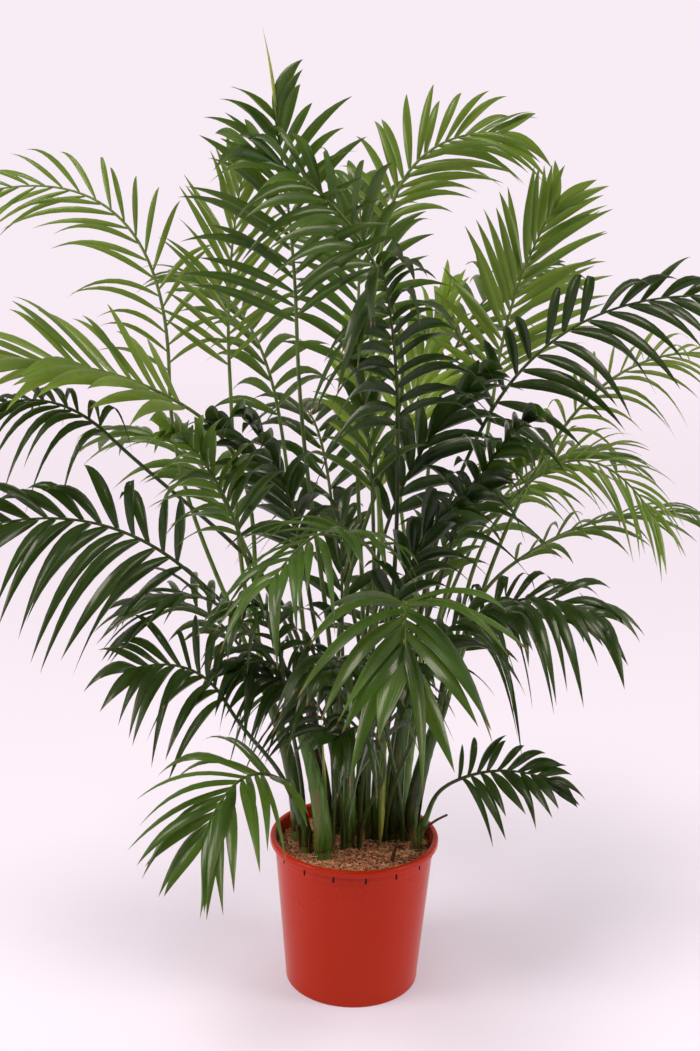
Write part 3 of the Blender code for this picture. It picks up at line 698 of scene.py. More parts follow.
def leaflet_tree():
    tree, node, given, out = new_tree(
        "Leaflets along ribs",
        Float="Knee Spread, Tip Spread, Spread Curve, Longest At, Tip Shortening, Shortening Curve, "
        "Stagger, Turn, Droop Curve, Spread Chance, Lift Chance, Length Chance, Turn Chance, "
        "Sag Chance, Narrowing, Tip Broadening, Broadening Curve",
        Collection="Patterns",
        Int="Kinds, Seed",
        Material="Material, Joint, Dry Tip",
    )
    own = {}
    for label in ("leaflets", "toward", "swept", "lift", "longest", "breadth", "sag", "reach", "fall"):
        kind = {"leaflets": "INT", "toward": "FLOAT_VECTOR"}.get(label, "FLOAT")
        own[label] = node("InputNamedAttribute", {"data_type": kind}, label)

    def varied(number, label, usual):
        """The usual value, moved by a chance from -1 to 1 that is each leaflet's own."""
        seed = node(MATH, "ADD", given["Seed"], float(number))
        chance = node(CHANCE, {"data_type": "FLOAT"}, Min=-1.0, Max=1.0, Seed=seed)
        return node(MATH, "MULTIPLY_ADD", chance, given[f"{label} Chance"], usual)

    # A curve for each rib, with a point for each leaflet: right and left in turn
    ribs = node("MeshToCurve", given["Geometry"])
    points = node("ResampleCurve", {"mode": "COUNT"}, ribs, Count=own["leaflets"])
    index = pick(node("SplineParameter").outputs, "Index")
    hand = node(MATH, "MULTIPLY_ADD", node(MATH, "MODULO", index, 2.0), -2.0, 1.0)
    pair = node(MATH, "FLOOR", node(MATH, "DIVIDE", index, 2.0))
    middle = node(MATH, "ADD", pair, 0.5)
    set_apart = node(MATH, "MULTIPLY_ADD", hand, given["Stagger"], middle)
    share = node(MATH, "DIVIDE", set_apart, node(MATH, "DIVIDE", own["leaflets"], 2.0))
    rib = pick(node("CurveOfPoint").outputs, "Curve Index")
    there = node("SampleCurve", {"mode": "FACTOR"}, Curves=ribs, Factor=share, Curve_Index=rib)
    points = node("SetPosition", points, Position=pick(there.outputs, "Position"))
    # The blade's own frame: along the rib, out of its upper face, and outwards to this side
    along = pick(there.outputs, "Tangent")
    slope = node(VECTOR, "PROJECT", own["toward"], along)
    face = node(VECTOR, "NORMALIZE", node(VECTOR, "SUBTRACT", own["toward"], slope))
    outward = node(VECTOR, "SCALE", node(VECTOR, "CROSS_PRODUCT", along, face), Scale=hand)
    # The leaflet's direction: spread away from the rib, and lifted towards the upper face
    closing = node(MATH, "POWER", share, given["Spread Curve"])
    closed = node(MATH, "SUBTRACT", given["Tip Spread"], given["Knee Spread"])
    usual = node(MATH, "MULTIPLY_ADD", closing, closed, given["Knee Spread"])
    usual = node(MATH, "SUBTRACT", usual, own["swept"])
    spread = varied(0, "Spread", usual)
    lift = varied(1, "Lift", own["lift"])
    way = along
    for angle, aside in ((spread, outward), (lift, face)):
        angle = node(MATH, "RADIANS", angle)
        forward = node(VECTOR, "SCALE", way, Scale=node(MATH, "COSINE", angle))
        beside = node(VECTOR, "SCALE", aside, Scale=node(MATH, "SINE", angle))
        way = node(VECTOR, "ADD", forward, beside)
    upper = node(VECTOR, "SUBTRACT", face, node(VECTOR, "PROJECT", face, way))
    axes = {"primary_axis": "Y", "secondary_axis": "Z"}
    aim = node("FunctionNodeAxesToRotation", axes, Primary_Axis=way, Secondary_Axis=upper)
    slat = varied(4, "Turn", node(MATH, "MULTIPLY", given["Turn"], hand))
    slat = node(MATH, "RADIANS", slat)
    turn = node("FunctionNodeAxisAngleToRotation", Axis=(0, 1, 0), Angle=slat)
    aim = node("FunctionNodeRotateRotation", {"rotation_space": "LOCAL"}, aim, turn)
    # Its length: longest at one place on the rib, shorter towards both ends
    away = node(MATH, "ABSOLUTE", node(MATH, "SUBTRACT", share, given["Longest At"]))
    away = node(MATH, "DIVIDE", away, node(MATH, "SUBTRACT", 1.0, given["Longest At"]))
    away = node(MATH, "POWER", away, given["Shortening Curve"])
    size = node(MATH, "SUBTRACT", 1.0, node(MATH, "MULTIPLY", away, given["Tip Shortening"]))
    size = node(MATH, "MULTIPLY", size, varied(2, "Length", 1.0))
    length = node(MATH, "MULTIPLY", size, own["longest"])
    # A shorter leaflet is narrower too, but less so, and the last pair is broad
    narrow = node(MATH, "POWER", size, given["Narrowing"])
    last = node(MATH, "POWER", share, given["Broadening Curve"])
    broad = node(MATH, "MULTIPLY_ADD", last, given["Tip Broadening"], narrow)
    width = node(MATH, "MULTIPLY", broad, own["breadth"])
    # How far its tip falls, kept for the mesh that it becomes
    limp = node(MATH, "MULTIPLY", own["sag"], varied(3, "Sag", 1.0))
    fall = node(MATH, "MULTIPLY", limp, length)
    kept = {"data_type": "FLOAT", "domain": "POINT"}
    points = node("StoreNamedAttribute", kept, points, Name="fall", Value=fall)
    real = copies(node, given, points, aim, node(XYZ, width, length, width))
    # Gravity
    drop = node(MATH, "POWER", own["reach"], given["Droop Curve"])
    drop = node(MATH, "MULTIPLY", node(MATH, "MULTIPLY", drop, own["fall"]), -1.0)
    bent = node("SetPosition", real, Offset=node(XYZ, Z=drop))
    done = finished(node, given, bent)
    ends = {"Joint": ("LESS_THAN", JOINT_TO), "Dry Tip": ("GREATER_THAN", DRY_FROM)}
    for label, (operation, limit) in ends.items():
        there = node(MATH, operation, own["reach"], limit)
        done = node("SetMaterial", done, there, given[label])
    feed(out, done)
    return tree


def tube_tree():
    """Turns each path into a closed tube whose radius is the path's own thickness."""
    tree, node, given, out = new_tree("Tubes along paths", Int="Sides", Material="Material")
    path = node("MeshToCurve", given["Geometry"])
    ring = node("CurvePrimitiveCircle", Resolution=given["Sides"], Radius=1.0)
    thick = node("InputNamedAttribute", {"data_type": "FLOAT"}, "thickness")
    tube = node("CurveToMesh", path, ring, Scale=thick, Fill_Caps=True)
    feed(out, finished(node, given, tube))
    return tree


def tubes(name, paths, radii, sides, material):
    """A piece of tubes along these paths."""
    grow(name, lines(paths, thickness=radii), TUBES, sides=sides, material=material)


LEAFLETS = leaflet_tree()
TUBES = tube_tree()
print("nodes in the leaflet tree:", len(LEAFLETS.nodes), "and in the tube tree:", len(TUBES.nodes))

# %% [markdown]
# ## Young leaves and old leaves
#
# One rule with one set of numbers would give a hedge. Young pale fronds are stiff and hold many slim
# leaflets close and high, and old dark ones are broad and hang. So each green has a habit, which says
# how its fronds differ from the solids' plain ones. The fronds of one green are grown together and
# give two pieces: their leaflets, and their stalks and ribs.

# %% Grow the ribs and leaflets
SLENDER = 10.5  # a leaflet's length over its width
STALK_STEPS = 24
BLADE_STEPS = 30
RIB_SIDES = 10
SEED_STEP = 10  # from one green to the next
RULE = dict(
    spread_curve=0.8, longest_at=0.33, tip_shortening=0.5, shortening_curve=1.6, stagger=0.2,
    turn=14.0, droop_curve=2.6, spread_chance=7.0, lift_chance=11.0, length_chance=0.12,
    turn_chance=16.0, sag_chance=0.3, narrowing=0.6, tip_broadening=0.7, broadening_curve=9.0,
)
HABITS = {  # leaflets for each one of the solids', breadth, limpness, spread at knee and tip, and lift
    "fresh": (1.6, 0.95, 1.1, 52.0, 20.0, 10.0),
    "pale": (1.7, 0.82, 1.2, 54.0, 20.0, 10.0),
    "mid": (1.5, 1.0, 1.5, 60.0, 22.0, 13.0),
    "dark": (1.3, 1.2, 1.7, 64.0, 24.0, 18.0),
}


def upper_side(frond):
    """The direction that the blade's upper face is turned to."""
    bearing, elevation = frond.faces
    rise = math.radians(elevation)
    return math.cos(rise) * heading(bearing) + math.sin(rise) * UP


for number, (green, habit) in enumerate(HABITS.items()):
    finer, broader, limper, knee_spread, tip_spread, lift = habit
    same = [frond for frond in (*FRONDS, *YOUNG) if frond.green == green]
    mesh = lines(
        [curve(routes[frond.name], BLADE_STEPS) for frond in same],
        leaflets=[2 * round(frond.pairs * finer) for frond in same],
        toward=[upper_side(frond) for frond in same],
        longest=[frond.leaflet for frond in same],
        breadth=[frond.leaflet / SLENDER * broader * frond.breadth for frond in same],
        sag=[frond.sag * limper for frond in same],
        lift=[lift + frond.lift for frond in same],
        swept=[frond.swept for frond in same],
    )
    grow(
        f"leaflets_{green}", mesh, LEAFLETS, patterns=patterns, kinds=len(counts),
        seed=SEED + SEED_STEP * number, material=LEAVES[green], joint=JOINT_SKIN, dry_tip=TIP_SKIN,
        knee_spread=knee_spread, tip_spread=tip_spread, **RULE,
    )
    whole = [frond_line(frond, routes[frond.name], STALK_STEPS, BLADE_STEPS) for frond in same]
    tubes(f"ribs_{green}", *zip(*whole), RIB_SIDES, RIBS[green])

# %% [markdown]
# ## The pot
#
# Nursery pots are injection-moulded: one thin tapered wall, with a rolled rim to lift them by and a
# straight band under it. The mould parts upwards, so the pot is a profile turned about its axis, and
# its sizes come from the frame's own pot. Sixteen upright slots break the band, so a small tree lays
# cutters round a circle and cuts them all with one Boolean. Their cut faces take a near-black
# material, which is painted shade inside the slots.

# %% Pot sizes and profile
POT_HEIGHT = POT_HIGH.z
RIM_RADIUS = POT_HIGH.x
LIP = 0.0042  # roundness of the rolled rim
RIM_BOTTOM = POT_HEIGHT - 0.012
BAND_RADIUS = RIM_RADIUS - 0.0085
BAND_BOTTOM = POT_HEIGHT - 0.029
BAND_STEP = 0.0015
BASE_RADIUS = RIM_RADIUS - 0.0325
WALL = 0.0025
FLOOR = 0.004
TURN_STEPS = 160


def arc(radius, height, size, first, last, steps):
    """Points of radius and height round a centre, between two angles in degrees."""
    angles = [math.radians(angle) for angle in evenly(first, last, steps + 1)]
    return [(radius + size * math.cos(a), height + size * math.sin(a)) for a in angles]


def wall_radius(height):
    top = BAND_RADIUS - BAND_STEP
    return BASE_RADIUS + (top - BASE_RADIUS) * height / BAND_BOTTOM


def turned(profile, steps=TURN_STEPS):
    """A closed mesh of this profile turned about Z. It begins and ends on the axis."""
    work = bmesh.new()
    rings = []
    for radius, height in profile:
        turns = [2 * math.pi * i / steps for i in range(steps if radius > 1e-6 else 1)]
        ring = [(radius * math.cos(a), radius * math.sin(a), height) for a in turns]
        rings.append([work.verts.new(point) for point in ring])
    loft(work, rings, steps)
    return baked("turned", work, outward=True)


inside = BAND_RADIUS - WALL
floor_edge = wall_radius(FLOOR) - WALL
profile = [(0, FLOOR), (floor_edge - 0.004, FLOOR), (floor_edge, FLOOR + 0.004)]
profile += [(wall_radius(h) - WALL, h) for h in evenly(0.02, BAND_BOTTOM - 0.002, 8)]
profile += [(inside, BAND_BOTTOM + BAND_STEP), (inside, RIM_BOTTOM)]
profile += arc(inside + LIP, POT_HEIGHT - LIP, LIP, 180, 90, 5)
profile += arc(RIM_RADIUS - LIP, POT_HEIGHT - LIP, LIP, 90, 0, 7)
profile += [(RIM_RADIUS, RIM_BOTTOM + 0.003)]
profile += arc(RIM_RADIUS - 0.002, RIM_BOTTOM + 0.002, 0.002, 0, -90, 4)
profile += [(BAND_RADIUS + 0.0008, RIM_BOTTOM), (BAND_RADIUS, RIM_BOTTOM - 0.0008)]
profile += [(BAND_RADIUS, BAND_BOTTOM + 0.0008), (BAND_RADIUS - 0.0004, BAND_BOTTOM)]
profile += [(wall_radius(BAND_BOTTOM), BAND_BOTTOM - drop) for drop in (0.0004, 0.002)]
profile += [(wall_radius(h), h) for h in evenly(BAND_BOTTOM - 0.01, 0.012, 12)]
profile += [(wall_radius(0.006) + 0.0004, 0.007), (wall_radius(0.004) + 0.0004, 0.004)]
profile += arc(BASE_RADIUS - 0.0025, 0.003, 0.003, 0, -90, 4)
profile += [(BASE_RADIUS - 0.012, 0), (BASE_RADIUS - 0.014, 0.0015), (0, 0.0015)]
print("pot:", len(profile), "points in the profile, rim", round(2000 * RIM_RADIUS), "mm across")

# %% [markdown]
# ## Moulded plastic
#
# The pot is polypropylene, coloured right through and moulded in a satin-finished tool. It has a
# soft wide highlight, duller low down, where it gets handled and splashed. A thin sheen pales its
# flanks, and a faint bump stands for the tool's grain, drawn forty times as coarse, so that it shows.

# %% The pot's finish
SLOTS = 16
FIRST_SLOT = 8.3  # its bearing
SLOT_SIZE = (0.0038, 0.0036, 0.0145)  # the first is twice how deep they go in
SLOT_DROP = 0.0074  # from the rim's foot to their middle
SHARP = math.radians(35)


def moulded_plastic(name, fresh, faded):
    """Satin plastic with a fine grain, and duller near its foot."""
    made, node, shader, place = new_material(name)
    drift = node(RANGE, lumps(node, place, 0.09, 4.0), 0.1, 0.9)
    height = pick(node("SeparateXYZ", place).outputs, "Z")
    low = node(RANGE, height, 0.16, 0.0, To_Max=0.55)
    worn = node(MATH, {"operation": "ADD", "use_clamp": True}, low, node(MATH, "MULTIPLY", drift, 0.35))
    dress(
        node, shader, blend(node, worn, fresh, faded), worn, (0.26, 0.36),
        lumps(node, place, 0.004, 1.0), (0.05, 0.0001),
        IOR=1.49, Specular_IOR_Level=0.16, Sheen_Weight=0.3, Sheen_Roughness=0.3,
    )
    return made


def slot_tree():
    """Cuts a ring of upright slots in a turned wall, with a dark material on the cut faces as painted
    shade.
    """
    tree, node, given, out = new_tree(
        "Slots round a wall", Int="Slots", Float="Radius, Height, First", Vector="Size",
        Material="Material, Inside",
    )
    ring = node("MeshCircle", Vertices=given["Slots"], Radius=given["Radius"])
    cutter = node("MeshCube", given["Size"])
    spoke = node("InputPosition")
    axes = {"axis": "X", "pivot_axis": "Z"}
    outward = node("FunctionNodeAlignRotationToVector", axes, Vector=spoke)
    laid = node("InstanceOnPoints", ring, Instance=cutter, Rotation=outward)
    real = node("RealizeInstances", laid)
    up = node(XYZ, Z=given["Height"])
    turn = node(XYZ, Z=given["First"])
    raised = node("Transform", real, Translation=up, Rotation=turn)
    # The cutters' near-black material stays on the cut faces: painted shade inside the slots
    painted_slot_shade = node("SetMaterial", raised, Material=given["Inside"])
    wall = finished(node, given, given["Geometry"], smooth=False)
    difference = {"operation": "DIFFERENCE", "solver": "EXACT"}
    feed(out, node("MeshBoolean", difference, Mesh_1=wall, Mesh_2=painted_slot_shade))
    return tree


pot = grow(
    "pot_shell", turned(profile), slot_tree(), slots=SLOTS, size=SLOT_SIZE,
    radius=BAND_RADIUS, height=RIM_BOTTOM - SLOT_DROP, first=math.radians(FIRST_SLOT),
    material=moulded_plastic("satin_polypropylene", "#b02404", "#b62c0a"),
    # Near-black plastic for the slots' cut faces: painted shade inside the slots
    inside=moulded_plastic("soil_stained_plastic", "#2a100a", "#1c0c08"),
)
pot.shade_smooth()
pot.set_sharp_from_angle(angle=SHARP)
print(f"slots: {SLOTS}, each {1000 * SLOT_SIZE[1]:.0f} mm wide")

# %% [markdown]
# ## The soil
#
# Palms are potted in chips of coconut husk and bark, with loose hairs of coir. One closed bed fills
# the pot, low at the wall and uneven on top. On it a small tree scatters chips, turned any way round
# and tipped a little. It runs once for each colour of chip, since the mixture of dark, red and tan
# ones is what makes the surface look like husk.

# %% The bed
BED_RINGS = 34
BED_STEPS = 120
BED_RADIUS = wall_radius(SOIL_TOP) - WALL - GAP
CRUST = 0.012  # depth of the bed's uppermost layer
HUMPS = 0.0035  # from the lowest to the highest place, but for the dip at the wall
HUMP_KINDS = ((0.045, 3.1, 0.35), (0.012, 7.7, 0.2))  # breadth, place in the noise, and weight
WALL_DIP = 0.004
DIP_FROM = 0.86  # share of the radius where the dip begins
SETTLED = 0.001  # how far the bed lies below the solids' soil


def bed_height(x, y):
    """The soil's height here: humps of two sizes, and a dip along the wall."""
    near_wall = max(0.0, math.hypot(x, y) / BED_RADIUS - DIP_FROM) / (1 - DIP_FROM)
    humps = [noise.noise(Vector((x / size, y / size, z))) * weight for size, z, weight in HUMP_KINDS]
    return SOIL_TOP - SETTLED + HUMPS * sum(humps) - WALL_DIP * near_wall**2


def husk(name, dark, light, grain):
    """Chips of husk: two browns in fine grains, rough and dry."""
    made, node, shader, place = new_material(name)
    grains = lumps(node, place, grain, 5.0)
    colour = blend(node, node(RANGE, grains, 0.35, 0.65), dark, light)
    dress(node, shader, colour, grains, (0.95, 0.75), grains, (0.6, 0.001), IOR=1.45)
    return made


low_radius = wall_radius(SOIL_LOW.z) - WALL - GAP
bed_profile = [(0, SOIL_LOW.z), (low_radius, SOIL_LOW.z), (BED_RADIUS, SOIL_TOP - CRUST)]
bed_profile += [(radius, SOIL_TOP) for radius in evenly(BED_RADIUS, 0, BED_RINGS)]
bed = turned(bed_profile, BED_STEPS)
for vert in bed.vertices:
    if vert.co.z > SOIL_TOP - SETTLED:
        vert.co.z = bed_height(vert.co.x, vert.co.y)
bed.shade_smooth()
bed.materials.append(husk("damp_coir_bed", "#4a2b1d", "#8f5e45", 0.004))
pieces["soil_bed"] = put("soil_bed", bed)
print("soil bed:", len(bed.polygons), "faces")

# %% [markdown]
# ## Chips on the bed
#
# A chip is a splinter with slanted ends, and four of them, each at its own size and angle, look like
# a heap of different ones. Coir hairs are the same splinters, drawn thin. Those that would reach
# through the pot's wall are pressed against it.

# %% Chips and loose hairs
CHIP = (0.0072, 0.0023, 0.0010)  # usual length, breadth and thickness
HAIR = (0.0190, 0.0007, 0.0006)
LITTER = {  # name: dark and light shade, usual size, pieces on a square metre
    "chips_dark": ("#4e2d1e", "#7a4a36", CHIP, 22000.0),
    "chips_red": ("#a96347", "#cd8c6d", CHIP, 50000.0),
    "chips_tan": ("#cfa078", "#f0cfa8", CHIP, 16000.0),
    "coir_hairs": ("#b98f5c", "#e9cf9c", HAIR, 9000.0),
}
CHIP_ENDS = ((0.2, -0.5), (-0.6, 0.1), (0.05, 0.7), (0.4, 0.3))  # the slants of each pattern
CHIP_SECTION = ((-0.5, -0.5), (0.5, -0.3), (0.4, 0.5), (-0.4, 0.3))


def chip_pattern(name, ends):
    """A flat splinter along X, one unit in every direction, with each end cut at its own slant."""
    work = bmesh.new()
    rows = []
    for x, slant, narrow in ((-0.5, ends[0], 0.6), (0.05, 0, 1.0), (0.5, ends[1], 0.45)):
        rows.append([work.verts.new((x + slant * y, y * narrow, z * narrow)) for y, z in CHIP_SECTION])
    loft(work, rows, len(CHIP_SECTION))
    work.faces.new(reversed(rows[0]))
    work.faces.new(rows[-1])
    chips.objects.link(bpy.data.objects.new(name, baked(name, work, outward=True)))


def litter_tree():
    """Scatters patterns over a surface, lying nearly flat."""
    tree, node, given, out = new_tree(
        "Litter on a surface", Float="Density, Smallest, Largest, Tip, Sunk, Wall", Vector="Size",
        Collection="Patterns", Int="Kinds, Seed", Material="Material",
    )
    seed = given["Seed"]
    mesh, density = given["Geometry"], given["Density"]
    spread = node("DistributePointsOnFaces", Mesh=mesh, Density=density, Seed=seed)
    tip = node(MATH, "RADIANS", given["Tip"])
    most = node(XYZ, tip, tip, math.pi)
    least = node(VECTOR, "SCALE", most, Scale=-1.0)
    aim = node(CHANCE, {"data_type": "FLOAT_VECTOR"}, Min=least, Max=most, Seed=seed)
    turn = node("FunctionNodeEulerToRotation", aim)
    limits = {"Min": given["Smallest"], "Max": given["Largest"]}
    grade = node(CHANCE, {"data_type": "FLOAT"}, **limits, Seed=seed)
    size = node(VECTOR, "SCALE", given["Size"], Scale=grade)
    real = copies(node, given, spread, turn, size)
    # What would pass through the wall is pressed flat against it
    here = node("InputPosition")
    level = node(VECTOR, "MULTIPLY", here, (1, 1, 0))
    height = node(VECTOR, "MULTIPLY", here, (0, 0, 1))
    away = pick(node(VECTOR, "LENGTH", level).outputs, "Value")
    share = node(MATH, "MINIMUM", node(MATH, "DIVIDE", given["Wall"], away), 1.0)
    pressed = node(VECTOR, "ADD", node(VECTOR, "SCALE", level, Scale=share), height)
    down = node(XYZ, Z=given["Sunk"])
    laid = node("SetPosition", real, Position=pressed, Offset=down)
    feed(out, finished(node, given, laid, smooth=False))
    return tree


chips = bpy.data.collections.new("chip_patterns")
for i, ends in enumerate(CHIP_ENDS):
    chip_pattern(f"chip_{i}", ends)
litter = litter_tree()
work = bmesh.new()
work.from_mesh(bed)
lowest = SOIL_TOP - 0.75 * CRUST
under = [face for face in work.faces if face.calc_center_median().z < lowest or face.normal.z < 0.3]
bmesh.ops.delete(work, geom=under, context="FACES")
bed_top = baked("bed_top", work)
for number, (name, (dark, light, size, density)) in enumerate(LITTER.items()):
    grow(
        name, bed_top.copy(), litter, density=density, patterns=chips, kinds=len(CHIP_ENDS),
        smallest=0.5, largest=1.9, size=size, tip=24.0, sunk=0.0004, wall=BED_RADIUS,
        seed=SEED + number, material=husk(f"husk_of_{name}", dark, light, 0.002),
    )

# %% [markdown]
# ## Canes, sheaths and fibres
#
# A palm cane carries a ring at every place where a leaf once sat, three or four centimetres apart.
# The youngest leaves still hold on: the foot of each stalk is a long sheath that wraps nearly round
# the cane, then closes up into the stalk. The outer sheaths start lowest. Each is a gutter whose
# middle slides from the cane's axis over to the stalk while its radius and its arc shrink.

# %% Canes with leaf scars
CANE_STEP = 0.002
CANE_SIDES = 28
CANE_SUNK = 0.012  # how far a cane's foot stands in the soil
SCAR_SPACING = 0.034
SCAR_HEIGHT = 0.0004
SCAR_BREADTH = 0.0013
CANE_END = (0.02, 0.72)  # length of a cane's rounded end, and its thickness at the very top
CANE_TAPER = 0.34  # share of its thickness that a cane loses on the way up
NODE_SWELL = 0.03  # a cane is this share thicker at a scar than halfway between two
CANE_SKIN = plant_skin("cane_skin", "#56702f", "#33451d", 0.006, 0.40, "#77603a")


def smooth_share(t):
    """From 0 to 1 as t does, with soft ends."""
    t = min(1.0, max(0.0, t))
    return t * t * (3 - 2 * t)


def own_chance(name):
    """A number between 0 and 1 that belongs to this name."""
    return random.Random(f"{name} {SEED}").random()


def cane_profile(cane, along):
    """The cane's radius at this distance above the soil."""
    radius = cane.radius * (1 + (CANE_FOOT_FLARE - 1) * max(0.0, 1 - along / COLLAR) ** 2)
    radius *= 1 - CANE_TAPER * smooth_share(along / cane.height)
    shift = (along + 0.01 * own_chance(cane.name)) % SCAR_SPACING
    off = min(shift, SCAR_SPACING - shift)
    swell = NODE_SWELL * cane.radius * math.cos(math.pi * off / SCAR_SPACING) ** 2
    scar = SCAR_HEIGHT * math.exp(-((off / SCAR_BREADTH) ** 2))
    return radius - NODE_SWELL * cane.radius + swell + scar


cane_lines = []
cane_sizes = []
for cane in CANES:
    path = cane_path(cane, round(cane.height / CANE_STEP))
    along = [0.0, 0.0]
    for a, b in zip(path, path[1:]):
        along.append(along[-1] + (b - a).length)
    rounded = [min(1.0, CANE_END[1] + (along[-1] - value) / CANE_END[0]) for value in along]
    cane_lines.append([path[0] - CANE_SUNK * UP] + path)
    cane_sizes.append([cane_profile(cane, value) * share for value, share in zip(along, rounded)])
tubes("canes", cane_lines, cane_sizes, CANE_SIDES, CANE_SKIN)

# %% Sheaths
SHEATH_STEPS = 44
SHEATH_ACROSS = 16
SHEATH_THICKNESS = 0.0007
SHEATH_FOOT = 0.012  # above the soil, where the outermost sheath begins
SHEATH_ROOM = 0.0004  # between the cane and the innermost one
SHEATH_RISE = (0.05, 0.09)  # least and most length above the cane
PARTING = 0.45  # share of the length below the cane's top at which a sheath begins to lean out
SEAT = 0.03  # length over which a sheath's foot widens
RAGGED = 9  # degrees by which its edges wander
FINE_PATH = (40, 60)  # sections of the cane and of the stalk that it follows
LAYER = 0.0007  # each sheath lies this much outside the one that it wraps
WRAP = (158, 76)  # half of the arc, in degrees: round the cane, and round the stalk
SHEATH_TONES = {  # name: two shades, and the canes that wear it
    "green": ("#557a28", "#2f4c18", ("cane_b", "cane_e", "cane_j", "shoot_right", "cane_h")),
    "olive": ("#3e5720", "#223512", ("cane_a", "cane_c", "cane_f", "cane_g", "shoot_left")),
    "brown": ("#332818", "#1a140d", ("cane_d", "cane_i")),
}


def follow(path, distance):
    """The point this far along a path."""
    for a, b in zip(path, path[1:]):
        step = (b - a).length
        if distance <= step and step:
            return a.lerp(b, distance / step)
        distance -= step
    return path[-1].copy()


def sheath(frond, cane, layer, layers, work):
    """A gutter that wraps the cane below its top and narrows into the frond's stalk above it."""
    start, axis, out = starts[frond.name]
    stem = cane_path(cane, FINE_PATH[0])
    stalk = stalk_path(routes[frond.name], start, axis, FINE_PATH[1])
    below = (cane.height - SHEATH_FOOT) * (layer + 1) / layers
    parting = -PARTING * below
    above = SHEATH_RISE[0] + (SHEATH_RISE[1] - SHEATH_RISE[0]) * own_chance(frond.name)
    side = axis.cross(out).normalized()
    rows = []
    for i in range(SHEATH_STEPS + 1):
        along = -below + (below + above) * i / SHEATH_STEPS
        if along <= 0:
            centre = follow(stem[::-1], -along)
            beside = start + along * axis
        else:
            centre = stem[-1] + along * axis
            beside = follow(stalk, along)
        share = smooth_share((along - parting) / (above - parting))
        middle = centre.lerp(beside, share)
        layers_out = (layer + 1) * smooth_share((along + below) / SEAT)
        radius = cane_profile(cane, cane.height + min(along, 0)) + SHEATH_ROOM + LAYER * layers_out
        radius += (STALK_RADIUS - SHEATH_ROOM - radius) * share
        ragged = RAGGED * noise.noise(Vector((i / 3, layer, len(frond.name))))
        half = math.radians(WRAP[0] + (WRAP[1] - WRAP[0]) * share + ragged)
        turns = [half * (2 * j / SHEATH_ACROSS - 1) for j in range(SHEATH_ACROSS + 1)]
        ring = [middle + radius * (math.cos(a) * out + math.sin(a) * side) for a in turns]
        rows.append([work.verts.new(point) for point in ring])
    loft(work, rows, SHEATH_ACROSS)


for tone, (young, old, wearers) in SHEATH_TONES.items():
    work = bmesh.new()
    for cane in CANES:
        if cane.name in wearers:
            own = [frond for frond in FRONDS if frond.cane == cane.name]
            own.sort(key=lambda frond: frond.knee[2], reverse=True)
            for layer, frond in enumerate(own):
                sheath(frond, cane, layer, len(own), work)
    mesh = baked(f"sheaths_{tone}", work, outward=True)
    mesh.shade_smooth()
    mesh.materials.append(plant_skin(f"sheath_skin_{tone}", young, old, 0.005, 0.34, "#6f5a38"))
    maker = put(f"sheaths_{tone}", mesh)
    solid = maker.modifiers.new("Thickness", "SOLIDIFY")
    solid.thickness = SHEATH_THICKNESS
    solid.offset = 0
    settled(maker)

# %% [markdown]
# ## Small things that age the plant
#
# At the foot of each cane old sheaths have rotted to dry tan fibres, and a few dead stalks were cut
# off short. New leaves come up as pale spears, still folded. All are thin tubes along a path.

# %% Dry fibres
FIBRES = 16  # at each cane's foot
FIBRE_RADIUS = 0.00045
DRY = plant_skin("dry_fibre", "#b48f62", "#6d4a30", 0.003, 0.7)
chances = random.Random(f"fibres {SEED}")
fibre_lines = []
for cane in CANES:
    foot = Vector((cane.x, cane.y, SOIL_TOP))
    for _ in range(FIBRES):
        way = heading(chances.uniform(0, 360))
        rise = chances.uniform(0.01, 0.05)
        out = chances.uniform(0.002, 0.012)
        first = foot + cane.radius * way + chances.uniform(-0.003, 0.012) * UP
        bend = first + 0.6 * rise * UP + 0.3 * out * way
        last = first + rise * UP + out * way + chances.uniform(-0.008, 0.008) * way.cross(UP)
        fibre_lines.append(curve([first, bend, last], 6))
fibre_sizes = [[FIBRE_RADIUS * (1 - 0.8 * t) for t in evenly(0, 1, 7)]] * len(fibre_lines)
tubes("dry_fibres", fibre_lines, fibre_sizes, 5, DRY)

# %% Cut stalks, and leaves that are still folded
STUBS = (  # bearing, reach and height of both ends, and the radius
    ((350, 0.121, 0.298), (346, 0.172, 0.345), 0.0024),
    ((196, 0.100, 0.262), (202, 0.112, 0.318), 0.0034),
    ((318, 0.092, 0.262), (322, 0.100, 0.300), 0.0030),
)
SPEARS = (  # the same, with the radius at the middle
    ((212, 0.175, 1.545), (214, 0.205, 1.684), 0.0030),
    ((3, 0.048, 0.262), (8, 0.056, 0.470), 0.0068),
    ((205, 0.060, 0.262), (212, 0.075, 0.520), 0.0045),
)
BROWN = plant_skin("cut_stalk_skin", "#5a4a2c", "#33281b", 0.003, 0.55)
YOUNG_SKIN = plant_skin("folded_leaf_skin", "#b6bf62", "#7c9440", 0.004, 0.38)


def bowed(ends, steps, bow):
    """Points between two spots, on a line that bows by this vector."""
    low, high = [spot(*end) for end in ends]
    return [low.lerp(high, t) + math.sin(math.pi * t) * bow for t in evenly(0, 1, steps + 1)]


stub_lines = [bowed(ends, 5, 0.004 * UP) for *ends, _ in STUBS]
stub_sizes = [[radius * (1.15 - 0.3 * t) for t in evenly(0, 1, 6)] for *_, radius in STUBS]
tubes("cut_stalks", stub_lines, stub_sizes, 10, BROWN)
spear_lines = [bowed(ends, 20, 0.006 * UP.cross(spot(*ends[1])).normalized()) for *ends, _ in SPEARS]
swell = [(0.25 + 0.75 * math.sin(math.pi * t**0.8)) * (1 - 0.85 * t**3) for t in evenly(0, 1, 21)]
tubes("spears", spear_lines, [[thick * s for s in swell] for *_, thick in SPEARS], 8, YOUNG_SKIN)

# %% [markdown]
# ## Camera, floor and light
#
# The camera stands as high as the plant and looks a little down on it. Large soft lamps above and at
# both sides leave a broad shine along each leaflet. The sky of the studio is bright all round except
# in front, where a real room is dark behind the camera, which keeps the pot deep in colour.

